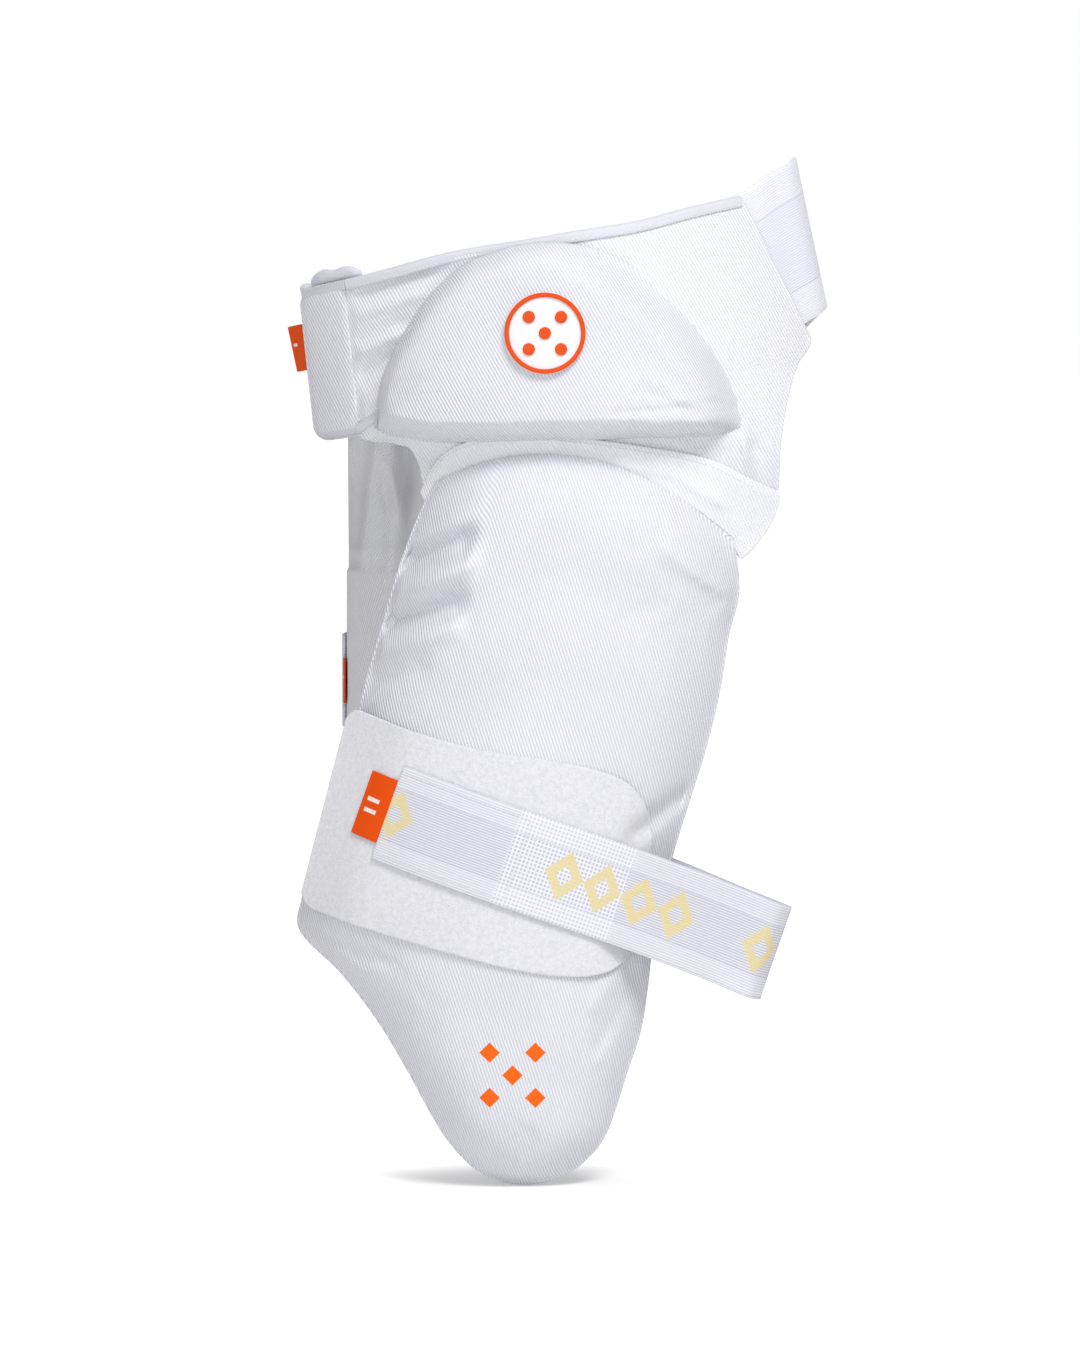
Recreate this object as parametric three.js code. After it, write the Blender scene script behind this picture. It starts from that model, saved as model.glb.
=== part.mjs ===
import * as THREE from 'three';
import { mergeVertices } from 'three/addons/utils/BufferGeometryUtils.js';

// Cricket thigh guard in the form that it has when worn, with the wearer's hips and thighs left open.
// Millimetres, +Z up, the outer thigh pad faces -Y, and the origin is the middle of the waist loop.

// Waist loop
const WAIST_DEPTH = 120; // from the middle of the loop to the front of the band
const WAIST_LEFT = 155; // half axis of the front curve towards the closure tab
const WAIST_RIGHT = 140; // half axis of the front curve towards the elastic
const WAIST_TILT = 12; // degrees that the belt rises to the right
const BAND_TOP = 31.5; // top edge above the middle of the loop
const BAND_HEIGHT = 81;
const BAND_WALL = 3;
const BAND_END_TOP = 103; // right end of the band at its top edge
const BAND_END_LOW = 124; // right end of the band at its lower edge
const BINDING_WIDTH = 5;
const BINDING_WALL = 1; // cloth of the binding on each face of the band

// Closure tab
const TAB_WIDTH = 25; // across the picture, about 50 along the curved belt
const TAB_SEAM_TOP = 111; // distance of the stitched seam from the middle, at the top edge
const TAB_SEAM_LOW = 120; // the same at the lower edge
const TAB_CORNER = 9;
const TAB_WALL = 4;

// Waist elastic
const ELASTIC_WIDTH = 81;
const ELASTIC_WALL = 2;

// Hip pad
const HIP_WIDTH = 201;
const HIP_HEIGHT = 103;
const HIP_THICK = 22;
const HIP_EDGE = 9;
const HIP_SLOPE = 0.24; // reach of the rise from the rim, as a share of the pad's height
const HIP_LEFT = 99; // from the middle of the loop to the pad's left edge
const HIP_TOP = 28; // above the middle of the loop

// Badge
const BADGE_DIAMETER = 43;
const BADGE_WALL = 2.4;
const BADGE_X = -9;
const BADGE_Z = -19.5;
const RING_WIDTH = 2.4;
const RING_HEIGHT = 0.8;
const DOT_DIAMETER = 6.4;
const DOT_SPREAD = 8.4; // from the badge's middle to an outer dot, along each axis

// Harness cloth
const CLOTH_WALL = 2.2;
const HARNESS_WIDTH = 232;
const HARNESS_RIGHT = 132; // from the middle of the loop to the wing's widest point
const FOLD_HEIGHT = 5; // height of a full gather
const FOLD_FREE_FROM = 0.2; // shares down the harness between which it gathers
const FOLD_FREE_TO = 0.7;
const FOLD_FADE = 0.16; // share over which a gather dies out

// Yoke between the harness and the thigh pad
const YOKE_WALL = 2;

// Outer thigh pad
const PAD_WIDTH = 231;
const PAD_HEIGHT = 384;
const PAD_LEFT = 137; // from the middle of the loop to the pad's widest point at the left
const PAD_TOP = -85;
const PAD_THICK = 24;
const PAD_EDGE = 8;
const PAD_SLOPE = 0.17; // reach of the rise from the rim, as a share of the pad's width
const PAD_CURVE = 135; // radius of the pad round the thigh
const PAD_STAND = 3; // crown of the pad's rear face behind the front of the waist
const DENT_DEPTH = 3; // depth of the deepest fold in the pad

// Loop patch
const PATCH_WALL = 2.2;
const PATCH_LIFT = 0.95; // clear of the pad's domed front
const PATCH_WIDTH = 188;

// Thigh strap
const STRAP_WIDTH = 50;
const STRAP_WALL = 2;
const STRAP_TILT = -19.5; // degrees, the strap falls to the right
const STRAP_LEFT = -92; // left end, along the strap
const STRAP_TURN = 118; // where the strap turns back, along the strap
const STRAP_MIDDLE_X = -4;
const STRAP_MIDDLE_Z = -301;
const STRAP_SAG = 4.5; // how far the strap hangs below its straight line where it turns
const STRAP_SEWN = [1.16, 1.06, 0.94]; // places on the pad's rear, as shares of the strap's left end
const STRAP_REST = 12; // where the strap leaves the pad, from the pad's crown
const STRAP_STEP = 4; // length over which the strap's slope is taken there
const STRAP_FALL = 0.1; // least slope away from the front, past that place

// Labels
const LABEL_WIDTH = 15;
const LABEL_HEIGHT = 34;
const LABEL_WALL = 0.8;
const BELT_LABEL_HEIGHT = 24;
const BELT_LABEL_WIDTH = 9;
const BELT_LABEL_OUT = 6.3; // how far the belt's label stands out of the tab
const BELT_LABEL_DROP = 30; // middle of the belt's label below the band's top edge

// Inner thigh pad and the thigh hollow that it lies round
const INNER_X = -50;
const INNER_Y = 70;
const INNER_RADIUS = 54; // of the thigh hollow
const INNER_THICK = 14;
const INNER_EDGE = 6;
const INNER_SLOPE = 0.3; // reach of the rise from the rim, as a share of the hollow's radius
const INNER_TOP = -152;
const INNER_HEIGHT = 200;
const INNER_FROM = 140; // degrees round the hollow, 180 is the left and 270 the front
const INNER_TO = 292;
const INNER_WAIST = 0.28; // narrowing of the pad towards its lower end
const INNER_WAIST_FROM = 0.45; // share of its height where that begins
const INNER_CORNER_RISE = 21.6; // rise of its lower corners
const INNER_CORNER_FROM = 0.6; // share of its half width where a corner begins
const INNER_STRAP_DROP = 60; // middle of the inner strap below the pad's top
const INNER_STRAP_END = 181; // degrees round the hollow, at the label
const INNER_STRAP_REACH = 20; // degrees that the strap is sewn on inside the pad's front rim
const INNER_STRAP_CLEAR = 16; // degrees clear of the pad's rims on the free stretch
const INNER_STRAP_RESTS = 3; // points of the strap's curve on each of its two rests
const INNER_STRAP_FREE = 8; // and on its free stretch
const INNER_CLOTH_TOP = -22; // where the cloth is sewn on inside the band
const INNER_CLOTH_SEWN = 0.3; // share of the cloth that lies against the belt
const INNER_CLOTH_LAP = 16; // how far it runs down inside the belt
const INNER_CLOTH_WAVE = 3; // depth of its hanging folds
const INNER_CLOTH_FROM = 180; // degrees round the hollow, at the cloth's lower end
const INNER_CLOTH_TO = 268;

const GAP = 0.3;
const EDGE_ROUND = 2; // how far a pad's rim stands out in the middle of its thickness

const WHITE = 0xe9e9ee;
const CLOTH_WHITE = 0xeeeef4;
const ELASTIC_WHITE = 0xe6e6f0;
const ORANGE = 0xf0500f;

// The thigh pad's outline, a row for each section from top to bottom. Sizes across are shares of the
// pad's width from its left limit, slant and bow are shares of its height.
const PAD_ROWS = [
  { at: 0, left: 0.304, right: 0.984, slant: 0.079, bow: 0.073 },
  { at: 0.035, left: 0.279, right: 0.995, slant: 0.08, bow: 0.064 },
  { at: 0.09, left: 0.245, right: 1, slant: 0.066, bow: 0.05 },
  { at: 0.145, left: 0.213, right: 0.996, slant: 0.039, bow: 0.036 },
  { at: 0.21, left: 0.184, right: 0.977, slant: 0.02, bow: 0.022 },
  { at: 0.31, left: 0.141, right: 0.954, slant: 0.014, bow: 0.01 },
  { at: 0.39, left: 0.113, right: 0.922, slant: 0.02, bow: 0.006 },
  { at: 0.46, left: 0.072, right: 0.89, slant: 0.007, bow: 0.004 },
  { at: 0.55, left: 0.021, right: 0.845, slant: 0.014, bow: 0 },
  { at: 0.62, left: -0.006, right: 0.822, slant: 0.012, bow: 0 },
  { at: 0.67, left: -0.01, right: 0.802, slant: 0.02, bow: -0.004 },
  { at: 0.73, left: 0.084, right: 0.79, slant: 0.025, bow: -0.006 },
  { at: 0.79, left: 0.166, right: 0.774, slant: 0.02, bow: -0.006 },
  { at: 0.85, left: 0.231, right: 0.743, slant: 0.013, bow: -0.006 },
  { at: 0.92, left: 0.296, right: 0.706, slant: 0.01, bow: -0.006 },
  { at: 0.95, left: 0.33, right: 0.682, slant: 0.006, bow: -0.006 },
  { at: 0.975, left: 0.371, right: 0.645, slant: 0.002, bow: -0.005 },
  { at: 0.99, left: 0.409, right: 0.607, slant: 0, bow: -0.004 },
  { at: 1, left: 0.455, right: 0.56, slant: 0, bow: -0.003 },
];

// Crown of the pad's rear face, as a share of the waist's depth, and the place of the crown as a share
// of the pad's width, by height.
const PAD_CROWN = [
  { at: 0, crown: 0.985, middle: 0.64 },
  { at: 0.15, crown: 1.03, middle: 0.6 },
  { at: 0.35, crown: 1.06, middle: 0.54 },
  { at: 0.6, crown: 1.06, middle: 0.44 },
  { at: 0.8, crown: 1.02, middle: 0.47 },
  { at: 1, crown: 0.96, middle: 0.51 },
];

// Folds of a panel: each runs from one point to another in shares of the panel across and down, with its
// spread as a share of the panel's width, and its height as a share of the fold height of the panel.
const PAD_FOLDS = [
  { x0: 0.02, y0: 0.13, x1: 0.27, y1: 0.085, spread: 0.03, height: -1 },
  { x0: 0, y0: 0.16, x1: 0.26, y1: 0.115, spread: 0.035, height: 0.8 },
  { x0: 0, y0: 0.22, x1: 0.25, y1: 0.18, spread: 0.035, height: -1 },
  { x0: 0, y0: 0.25, x1: 0.23, y1: 0.21, spread: 0.04, height: 0.6 },
  { x0: 0.32, y0: 0.18, x1: 0.8, y1: 0.18, spread: 0.06, height: -0.35 },
  { x0: 0.97, y0: 0.47, x1: 0.88, y1: 0.52, spread: 0.03, height: -0.7 },
];

// Half-round outline of the hip pad, a row for each section from left to right, in shares of its height.
const HIP_COLUMNS = [
  { at: 0, top: 0.93, bottom: 0.97 },
  { at: 0.012, top: 0.74, bottom: 0.985 },
  { at: 0.04, top: 0.59, bottom: 1 },
  { at: 0.083, top: 0.44, bottom: 1 },
  { at: 0.136, top: 0.29, bottom: 1 },
  { at: 0.19, top: 0.182, bottom: 1 },
  { at: 0.242, top: 0.107, bottom: 1 },
  { at: 0.3, top: 0.058, bottom: 1 },
  { at: 0.375, top: 0.014, bottom: 0.995 },
  { at: 0.457, top: 0, bottom: 0.99 },
  { at: 0.547, top: 0.02, bottom: 0.99 },
  { at: 0.64, top: 0.084, bottom: 0.985 },
  { at: 0.733, top: 0.188, bottom: 0.98 },
  { at: 0.826, top: 0.345, bottom: 0.98 },
  { at: 0.884, top: 0.475, bottom: 0.975 },
  { at: 0.932, top: 0.62, bottom: 0.97 },
  { at: 0.972, top: 0.775, bottom: 0.96 },
  { at: 1, top: 0.9, bottom: 0.95 },
];

// Harness cloth from the band's lower edge to behind the yoke: ends as shares of its width from its right
// limit, drops of the two ends and the rise of the middle as shares of the hip pad's height.
const HARNESS_ROWS = [
  { at: 0, left: 1, right: 0, leftDrop: 0, rightDrop: 0, bow: 0 },
  { at: 0.2, left: 0.948, right: 0.032, leftDrop: 0.08, rightDrop: 0.12, bow: 0 },
  { at: 0.4, left: 0.914, right: 0.057, leftDrop: 0.12, rightDrop: 0.3, bow: 0 },
  { at: 0.6, left: 0.891, right: 0.073, leftDrop: 0.22, rightDrop: 0.52, bow: 0.09 },
  { at: 0.8, left: 0.882, right: 0.078, leftDrop: 0.32, rightDrop: 0.75, bow: 0.18 },
  { at: 0.9, left: 0.872, right: 0.092, leftDrop: 0.36, rightDrop: 0.9, bow: 0.2 },
  { at: 1, left: 0.86, right: 0.15, leftDrop: 0.4, rightDrop: 1.02, bow: 0.22 },
];

const HARNESS_FOLDS = [
  { x0: 0.68, y0: 0.35, x1: 0.82, y1: 0.95, spread: 0.025, height: 0.7 },
  { x0: 0.73, y0: 0.3, x1: 0.86, y1: 0.85, spread: 0.022, height: -0.8 },
  { x0: 0.77, y0: 0.3, x1: 0.89, y1: 0.8, spread: 0.025, height: 0.6 },
  { x0: 0.87, y0: 0.35, x1: 0.93, y1: 0.75, spread: 0.02, height: -0.6 },
];

// Yoke: a crescent over the top of the thigh pad, in shares of the pad's width from its left limit and of
// the hip pad's height below the pad's top.
const YOKE_COLUMNS = [
  { at: 0, x: 0.272, top: 0.18, lowX: 0.285, low: 0.24 },
  { at: 0.08, x: 0.295, top: 0.07, lowX: 0.302, low: 0.2 },
  { at: 0.16, x: 0.33, top: -0.02, lowX: 0.335, low: 0.13 },
  { at: 0.26, x: 0.39, top: -0.08, lowX: 0.395, low: 0.08 },
  { at: 0.4, x: 0.49, top: -0.12, lowX: 0.49, low: 0.06 },
  { at: 0.52, x: 0.61, top: -0.1, lowX: 0.61, low: 0.08 },
  { at: 0.66, x: 0.75, top: -0.06, lowX: 0.74, low: 0.14 },
  { at: 0.8, x: 0.92, top: 0.01, lowX: 0.87, low: 0.26 },
  { at: 0.91, x: 1.02, top: 0.12, lowX: 0.94, low: 0.4 },
  { at: 1, x: 1.08, top: 0.2, lowX: 0.985, low: 0.48 },
];

// Loop patch across the pad, from left to right, in shares of the patch's width and of the pad's height.
const PATCH_COLUMNS = [
  { at: 0, x: 0.127, top: 0.36, lowX: 0, low: 0.6 },
  { at: 0.025, x: 0.15, top: 0.35, lowX: 0.018, low: 0.615 },
  { at: 0.06, x: 0.185, top: 0.354, lowX: 0.05, low: 0.622 },
  { at: 0.2, x: 0.31, top: 0.374, lowX: 0.2, low: 0.643 },
  { at: 0.4, x: 0.5, top: 0.398, lowX: 0.42, low: 0.672 },
  { at: 0.6, x: 0.68, top: 0.411, lowX: 0.6, low: 0.694 },
  { at: 0.75, x: 0.81, top: 0.424, lowX: 0.74, low: 0.704 },
  { at: 0.88, x: 0.91, top: 0.445, lowX: 0.85, low: 0.7 },
  { at: 0.96, x: 0.96, top: 0.48, lowX: 0.91, low: 0.68 },
  { at: 1, x: 0.975, top: 0.52, lowX: 0.94, low: 0.65 },
];

// Free stretch of the waist elastic round the back: x as a share of the right or left half axis, y as a
// share of the waist's depth, rise as a share of the elastic's width.
const ELASTIC_ROUTE = [
  { x: 0.955, y: -0.27, rise: 0.11 },
  { x: 0.985, y: -0.09, rise: 0.15 },
  { x: 0.97, y: 0.06, rise: 0.14 },
  { x: 0.9, y: 0.21, rise: 0.08 },
  { x: 0.77, y: 0.42, rise: -0.03 },
  { x: 0.57, y: 0.65, rise: -0.13 },
  { x: 0.29, y: 0.85, rise: -0.18 },
  { x: 0, y: 0.93, rise: -0.2 },
  { x: -0.29, y: 0.9, rise: -0.17 },
  { x: -0.58, y: 0.71, rise: -0.1 },
  { x: -0.78, y: 0.4, rise: -0.02 },
  { x: -0.86, y: 0.07, rise: 0.03 },
];

// Free stretch of the thigh strap behind the thigh: x as a share of the strap's turn, y as a share of the
// waist's depth behind the place where the strap turns, drop as a share of the strap's width.
const STRAP_ROUTE = [
  { x: 1.03, y: 0.03, drop: 0 },
  { x: 1.06, y: 0.09, drop: 0 },
  { x: 1.04, y: 0.17, drop: 0.01 },
  { x: 0.97, y: 0.25, drop: 0.02 },
  { x: 0.82, y: 0.39, drop: 0.05 },
  { x: 0.55, y: 0.6, drop: 0.08 },
  { x: 0.2, y: 0.77, drop: 0.11 },
  { x: -0.2, y: 0.84, drop: 0.13 },
  { x: -0.56, y: 0.78, drop: 0.13 },
  { x: -0.84, y: 0.6, drop: 0.11 },
  { x: -0.95, y: 0.36, drop: 0.09 },
];

const UP = new THREE.Vector3(0, 0, 1);
const tilt = THREE.MathUtils.degToRad(WAIST_TILT);
const lerp = THREE.MathUtils.lerp;
const clamp = THREE.MathUtils.clamp;

// Reads one column of a table at a share, on a smooth curve through its rows.
function read(rows, name, at) {
  let i = 0;
  while (i < rows.length - 2 && rows[i + 1].at < at) i += 1;
  const slope = (k) => {
    const a = rows[Math.max(k - 1, 0)];
    const b = rows[Math.min(k + 1, rows.length - 1)];
    return (b[name] - a[name]) / (b.at - a.at);
  };
  const span = rows[i + 1].at - rows[i].at;
  const t = clamp((at - rows[i].at) / span, 0, 1);
  const start = rows[i][name] * (1 + 2 * t) * (1 - t) ** 2;
  const end = rows[i + 1][name] * t * t * (3 - 2 * t);
  const bend = slope(i) * t * (1 - t) ** 2 - slope(i + 1) * t * t * (1 - t);
  return start + end + bend * span;
}

// Height of all folds at a point of a panel, in shares of the fold height.
function relief(folds, u, v, aspect) {
  let height = 0;
  for (const fold of folds) {
    const runX = fold.x1 - fold.x0;
    const runY = (fold.y1 - fold.y0) * aspect;
    const toX = u - fold.x0;
    const toY = (v - fold.y0) * aspect;
    const length = Math.hypot(runX, runY);
    const along = (toX * runX + toY * runY) / length ** 2;
    const aside = (toX * runY - toY * runX) / length;
    const over = Math.max(0, Math.abs(along - 0.5) - 0.35) * length;
    height += fold.height * Math.exp(-((aside / fold.spread) ** 2) - (over / fold.spread) ** 2);
  }
  return height;
}

// Rise of a padded form from its rim to its full thickness, from the distances to its sides.
function pillow(toSide, toEnd, reach) {
  const side = clamp(1 - toSide / reach, 0, 1);
  const end = clamp(1 - toEnd / reach, 0, 1);
  return Math.sqrt((1 - side ** 2) * (1 - end ** 2));
}

// Spreads shares so that they lie closer together at both ends.
function crowd(share, amount) {
  return lerp(share, 0.5 - 0.5 * Math.cos(Math.PI * share), amount);
}

// A closed body bent from a segmented block. place(u, v, side) gives each point: u runs from left to
// right, v from top to bottom and side from the rear face to the front face.
function panel(across, down, through, place) {
  const block = new THREE.BoxGeometry(1, 1, 1, across, down, through);
  block.deleteAttribute('normal');
  block.deleteAttribute('uv');
  const geometry = mergeVertices(block);
  const position = geometry.attributes.position;
  for (let i = 0; i < position.count; i += 1) {
    const u = 0.5 + position.getX(i);
    const v = 0.5 - position.getY(i);
    const side = 0.5 + position.getZ(i);
    const point = place(u, v, side);
    position.setXYZ(i, point.x, point.y, point.z);
  }
  geometry.computeVertexNormals();
  return geometry;
}

// Wraps a closed lathe form onto a surface: its axis becomes the direction out of the surface.
function wrapped(profile, sides, place) {
  const lathe = new THREE.LatheGeometry(profile, sides);
  lathe.deleteAttribute('normal');
  lathe.deleteAttribute('uv');
  const geometry = mergeVertices(lathe, 1e-3);
  const position = geometry.attributes.position;
  for (let i = 0; i < position.count; i += 1) {
    const point = place(position.getX(i), -position.getZ(i), position.getY(i));
    position.setXYZ(i, point.x, point.y, point.z);
  }
  geometry.computeVertexNormals();
  return geometry;
}

// From the tilted frame of the belt to the frame of the part.
function fromBelt(x, y, z) {
  return new THREE.Vector3(x * Math.cos(tilt) - z * Math.sin(tilt), y, x * Math.sin(tilt) + z * Math.cos(tilt));
}

// Curve of the belt's front seen from above.
function beltDepth(along) {
  const reach = along < 0 ? WAIST_LEFT : WAIST_RIGHT;
  return -WAIST_DEPTH * Math.sqrt(Math.max(0, 1 - (along / reach) ** 2));
}

// Rear face of the thigh pad: a curve round the thigh whose crown moves with the height.
function thighDepth(x, z) {
  const down = clamp((PAD_TOP - z) / PAD_HEIGHT, 0, 1);
  const crown = read(PAD_CROWN, 'crown', down) * WAIST_DEPTH - PAD_STAND;
  const middle = read(PAD_CROWN, 'middle', down) * PAD_WIDTH - PAD_LEFT;
  return (x - middle) ** 2 / (2 * PAD_CURVE) - crown;
}

// The surface that the harness, the yoke and the pads lie on: the waist above, the thigh below.
function frontDepth(x, z) {
  const waist = beltDepth(x * Math.cos(tilt) + z * Math.sin(tilt));
  const low = BAND_TOP - BAND_HEIGHT;
  const share = THREE.MathUtils.smoothstep(-z, -low + 0.2 * BAND_HEIGHT, -low + BAND_HEIGHT);
  return lerp(waist, thighDepth(x, z), share);
}

function onFront(x, z, out) {
  return new THREE.Vector3(x, frontDepth(x, z) - out, z);
}

function onBelt(x, z, out) {
  return fromBelt(x, beltDepth(x) - out, z);
}

// A point inside the belt, a distance along the belt's normal from its middle surface.
function insideBelt(x, z, inward) {
  const reach = x < 0 ? WAIST_LEFT : WAIST_RIGHT;
  const normal = new THREE.Vector2(x / reach ** 2, beltDepth(x) / WAIST_DEPTH ** 2).normalize();
  return fromBelt(x - normal.x * inward, beltDepth(x) - normal.y * inward, z);
}

function bandSeam(v) {
  return -lerp(TAB_SEAM_TOP, TAB_SEAM_LOW, v);
}

function bandEnd(v) {
  return lerp(BAND_END_TOP, BAND_END_LOW, v);
}

function waistBand() {
  return panel(24, 3, 1, (u, v, side) => {
    const x = lerp(bandSeam(v) + GAP, bandEnd(v), u);
    const z = lerp(BAND_TOP - BINDING_WALL - GAP, BAND_TOP - BAND_HEIGHT, v);
    return onBelt(x, z, (side - 0.5) * BAND_WALL);
  });
}

// Binding folded over an edge of the band: a flat channel in section, its opening towards the cloth.
function channel(steps, edge, wall) {
  const outer = wall / 2 + GAP + BINDING_WALL;
  const inner = wall / 2 + GAP;
  const section = [
    { out: outer, in: 0 },
    { out: outer, in: BINDING_WIDTH },
    { out: inner, in: BINDING_WIDTH },
    { out: inner, in: BINDING_WALL },
    { out: -inner, in: BINDING_WALL },
    { out: -inner, in: BINDING_WIDTH },
    { out: -outer, in: BINDING_WIDTH },
    { out: -outer, in: 0 },
  ];
  const points = [];
  const faces = [];
  const count = section.length;
  for (let i = 0; i <= steps; i += 1) {
    for (const corner of section) {
      points.push(...edge(i / steps, corner.in, corner.out).toArray());
    }
  }
  for (let i = 0; i < steps; i += 1) {
    for (let k = 0; k < count; k += 1) {
      const a = i * count + k;
      const b = i * count + ((k + 1) % count);
      faces.push(a, b, b + count, a, b + count, a + count);
    }
  }
  const cap = [0, 3, 2, 0, 2, 1, 0, 7, 3, 3, 7, 4, 7, 6, 5, 7, 5, 4];
  const last = steps * count;
  for (let i = 0; i < cap.length; i += 3) {
    faces.push(cap[i], cap[i + 1], cap[i + 2]);
    faces.push(last + cap[i], last + cap[i + 2], last + cap[i + 1]);
  }
  const geometry = new THREE.BufferGeometry();
  geometry.setAttribute('position', new THREE.Float32BufferAttribute(points, 3));
  geometry.setIndex(faces);
  geometry.computeVertexNormals();
  return geometry;
}

function topBinding() {
  return channel(24, (u, inward, out) => {
    const x = lerp(bandSeam(0) + GAP, bandEnd(0), u);
    return onBelt(x, BAND_TOP - inward, out);
  }, BAND_WALL);
}

// Binding on the short stretch of the lower edge that shows between the tab and the hip pad.
function lowerBinding() {
  const low = BAND_TOP - BAND_HEIGHT;
  const end = (low * Math.sin(tilt) - HIP_LEFT - 2 * BINDING_WALL) / Math.cos(tilt);
  return panel(4, 1, 1, (u, v, side) => {
    const x = lerp(bandSeam(1) + 2 * GAP, end, u);
    return onBelt(x, low + (1 - v) * BINDING_WIDTH, BAND_WALL / 2 + GAP + side * BINDING_WALL);
  });
}

// The tab's left edge: a rectangle with rounded corners on its free side.
function tabEdge(v) {
  const toEnd = Math.min(v, 1 - v) * BAND_HEIGHT;
  const inset = toEnd > TAB_CORNER ? 0 : TAB_CORNER - Math.sqrt(TAB_CORNER ** 2 - (TAB_CORNER - toEnd) ** 2);
  return bandSeam(v) - TAB_WIDTH + inset;
}

function closureTab() {
  return panel(7, 12, 1, (u, v, side) => {
    const row = crowd(v, 0.8);
    const x = lerp(tabEdge(row), bandSeam(row) - GAP, u);
    return onBelt(x, BAND_TOP - row * BAND_HEIGHT, (side - 0.5) * TAB_WALL);
  });
}

// Binding along the tab's top, free side and bottom, lying on its front.
function tabBinding() {
  const inset = BINDING_WIDTH * 0.5;
  const run = new THREE.CurvePath();
  const low = BAND_TOP - BAND_HEIGHT;
  const topLeft = new THREE.Vector2(bandSeam(0) - TAB_WIDTH + inset, BAND_TOP - inset);
  const lowLeft = new THREE.Vector2(bandSeam(1) - TAB_WIDTH + inset, low + inset);
  const topRight = new THREE.Vector2(bandSeam(0) - 2 * GAP, BAND_TOP - inset);
  const lowRight = new THREE.Vector2(bandSeam(1) - 2 * GAP, low + inset);
  const onTop = new THREE.Vector2(topLeft.x + TAB_CORNER, topLeft.y);
  const onLow = new THREE.Vector2(lowLeft.x + TAB_CORNER, lowLeft.y);
  const sideTop = new THREE.Vector2(topLeft.x, topLeft.y - TAB_CORNER);
  const sideLow = new THREE.Vector2(lowLeft.x, lowLeft.y + TAB_CORNER);
  run.add(new THREE.LineCurve(topRight, onTop));
  run.add(new THREE.QuadraticBezierCurve(onTop, topLeft, sideTop));
  run.add(new THREE.LineCurve(sideTop, sideLow));
  run.add(new THREE.QuadraticBezierCurve(sideLow, lowLeft, onLow));
  run.add(new THREE.LineCurve(onLow, lowRight));
  return panel(40, 1, 1, (u, v, side) => {
    const at = run.getPoint(1 - u);
    const along = run.getTangent(1 - u);
    const inward = (0.5 - v) * BINDING_WIDTH;
    const out = TAB_WALL / 2 + GAP + side * BINDING_WALL;
    return onBelt(at.x + along.y * inward, at.y - along.x * inward, out);
  });
}

// Small label sewn behind the tab's free side, standing out of it.
function beltLabel() {
  return panel(3, 2, 1, (u, v, side) => {
    const z = BAND_TOP - BELT_LABEL_DROP + (0.5 - v) * BELT_LABEL_HEIGHT;
    const x = tabEdge(0.5) + u * BELT_LABEL_WIDTH - BELT_LABEL_OUT;
    return onBelt(x, z, -TAB_WALL / 2 - GAP - (1 - side) * LABEL_WALL);
  });
}

// A flat band whose threads, the curves at each share of its width, are given by thread(v).
function webbing(steps, down, thread, across, wall) {
  const curves = new Map();
  return panel(steps, down, 1, (u, v, side) => {
    if (!curves.has(v)) curves.set(v, thread(v));
    const curve = curves.get(v);
    const out = curve.getTangent(u).cross(across).normalize();
    return curve.getPoint(u).addScaledVector(out, (side - 0.5) * wall);
  });
}

// Distance of the elastic's middle inside the belt, clear of the binding and of the tab.
const ELASTIC_TUCK = Math.max(BAND_WALL / 2 + BINDING_WALL + GAP, TAB_WALL / 2) + GAP + ELASTIC_WALL / 2;

// Wide elastic: tucked inside the band at the right, round the back, and inside the tab at the left.
function waistElastic() {
  const middle = BAND_TOP - BAND_HEIGHT / 2;
  const across = new THREE.Vector3(-Math.sin(tilt), 0, Math.cos(tilt));
  const thread = (v) => {
    const z = middle + (0.5 - v) * ELASTIC_WIDTH;
    const points = [];
    for (const share of [0.7, 0.8, 0.89]) points.push(insideBelt(share * WAIST_RIGHT, z, ELASTIC_TUCK));
    for (const row of ELASTIC_ROUTE) {
      const reach = row.x < 0 ? WAIST_LEFT : WAIST_RIGHT;
      points.push(fromBelt(row.x * reach, row.y * WAIST_DEPTH, z + row.rise * ELASTIC_WIDTH));
    }
    for (const share of [0.875, 0.81, 0.73]) points.push(insideBelt(-share * WAIST_LEFT, z, ELASTIC_TUCK));
    return new THREE.CatmullRomCurve3(points);
  };
  return webbing(48, 2, thread, across, ELASTIC_WALL);
}

// Front of the hip pad over the surface behind it. It stands clear of the yoke at its lower edge.
function hipBack(v) {
  const low = THREE.MathUtils.smoothstep(v, 0.45, 0.85);
  return BAND_WALL / 2 + BINDING_WALL + 3 * GAP + low * YOKE_WALL;
}

function hipPoint(u, v, side, inset) {
  const columnTop = read(HIP_COLUMNS, 'top', u) * HIP_HEIGHT + inset;
  const columnLow = read(HIP_COLUMNS, 'bottom', u) * HIP_HEIGHT - inset;
  const x = lerp(inset, HIP_WIDTH - inset, u) - HIP_LEFT;
  const z = HIP_TOP - lerp(columnTop, columnLow, v);
  const toSide = Math.min(u, 1 - u) * HIP_WIDTH;
  const toEnd = Math.min(v, 1 - v) * (columnLow - columnTop);
  const thick = lerp(HIP_EDGE, HIP_THICK, pillow(toSide, toEnd, HIP_SLOPE * HIP_HEIGHT));
  return onFront(x, z, hipBack(v) + side * thick);
}

function hipPad() {
  return panel(22, 9, 2, (u, v, side) => {
    const inset = EDGE_ROUND * Math.abs(2 * side - 1);
    return hipPoint(crowd(u, 0.9), crowd(v, 0.5), side, inset);
  });
}

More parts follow.
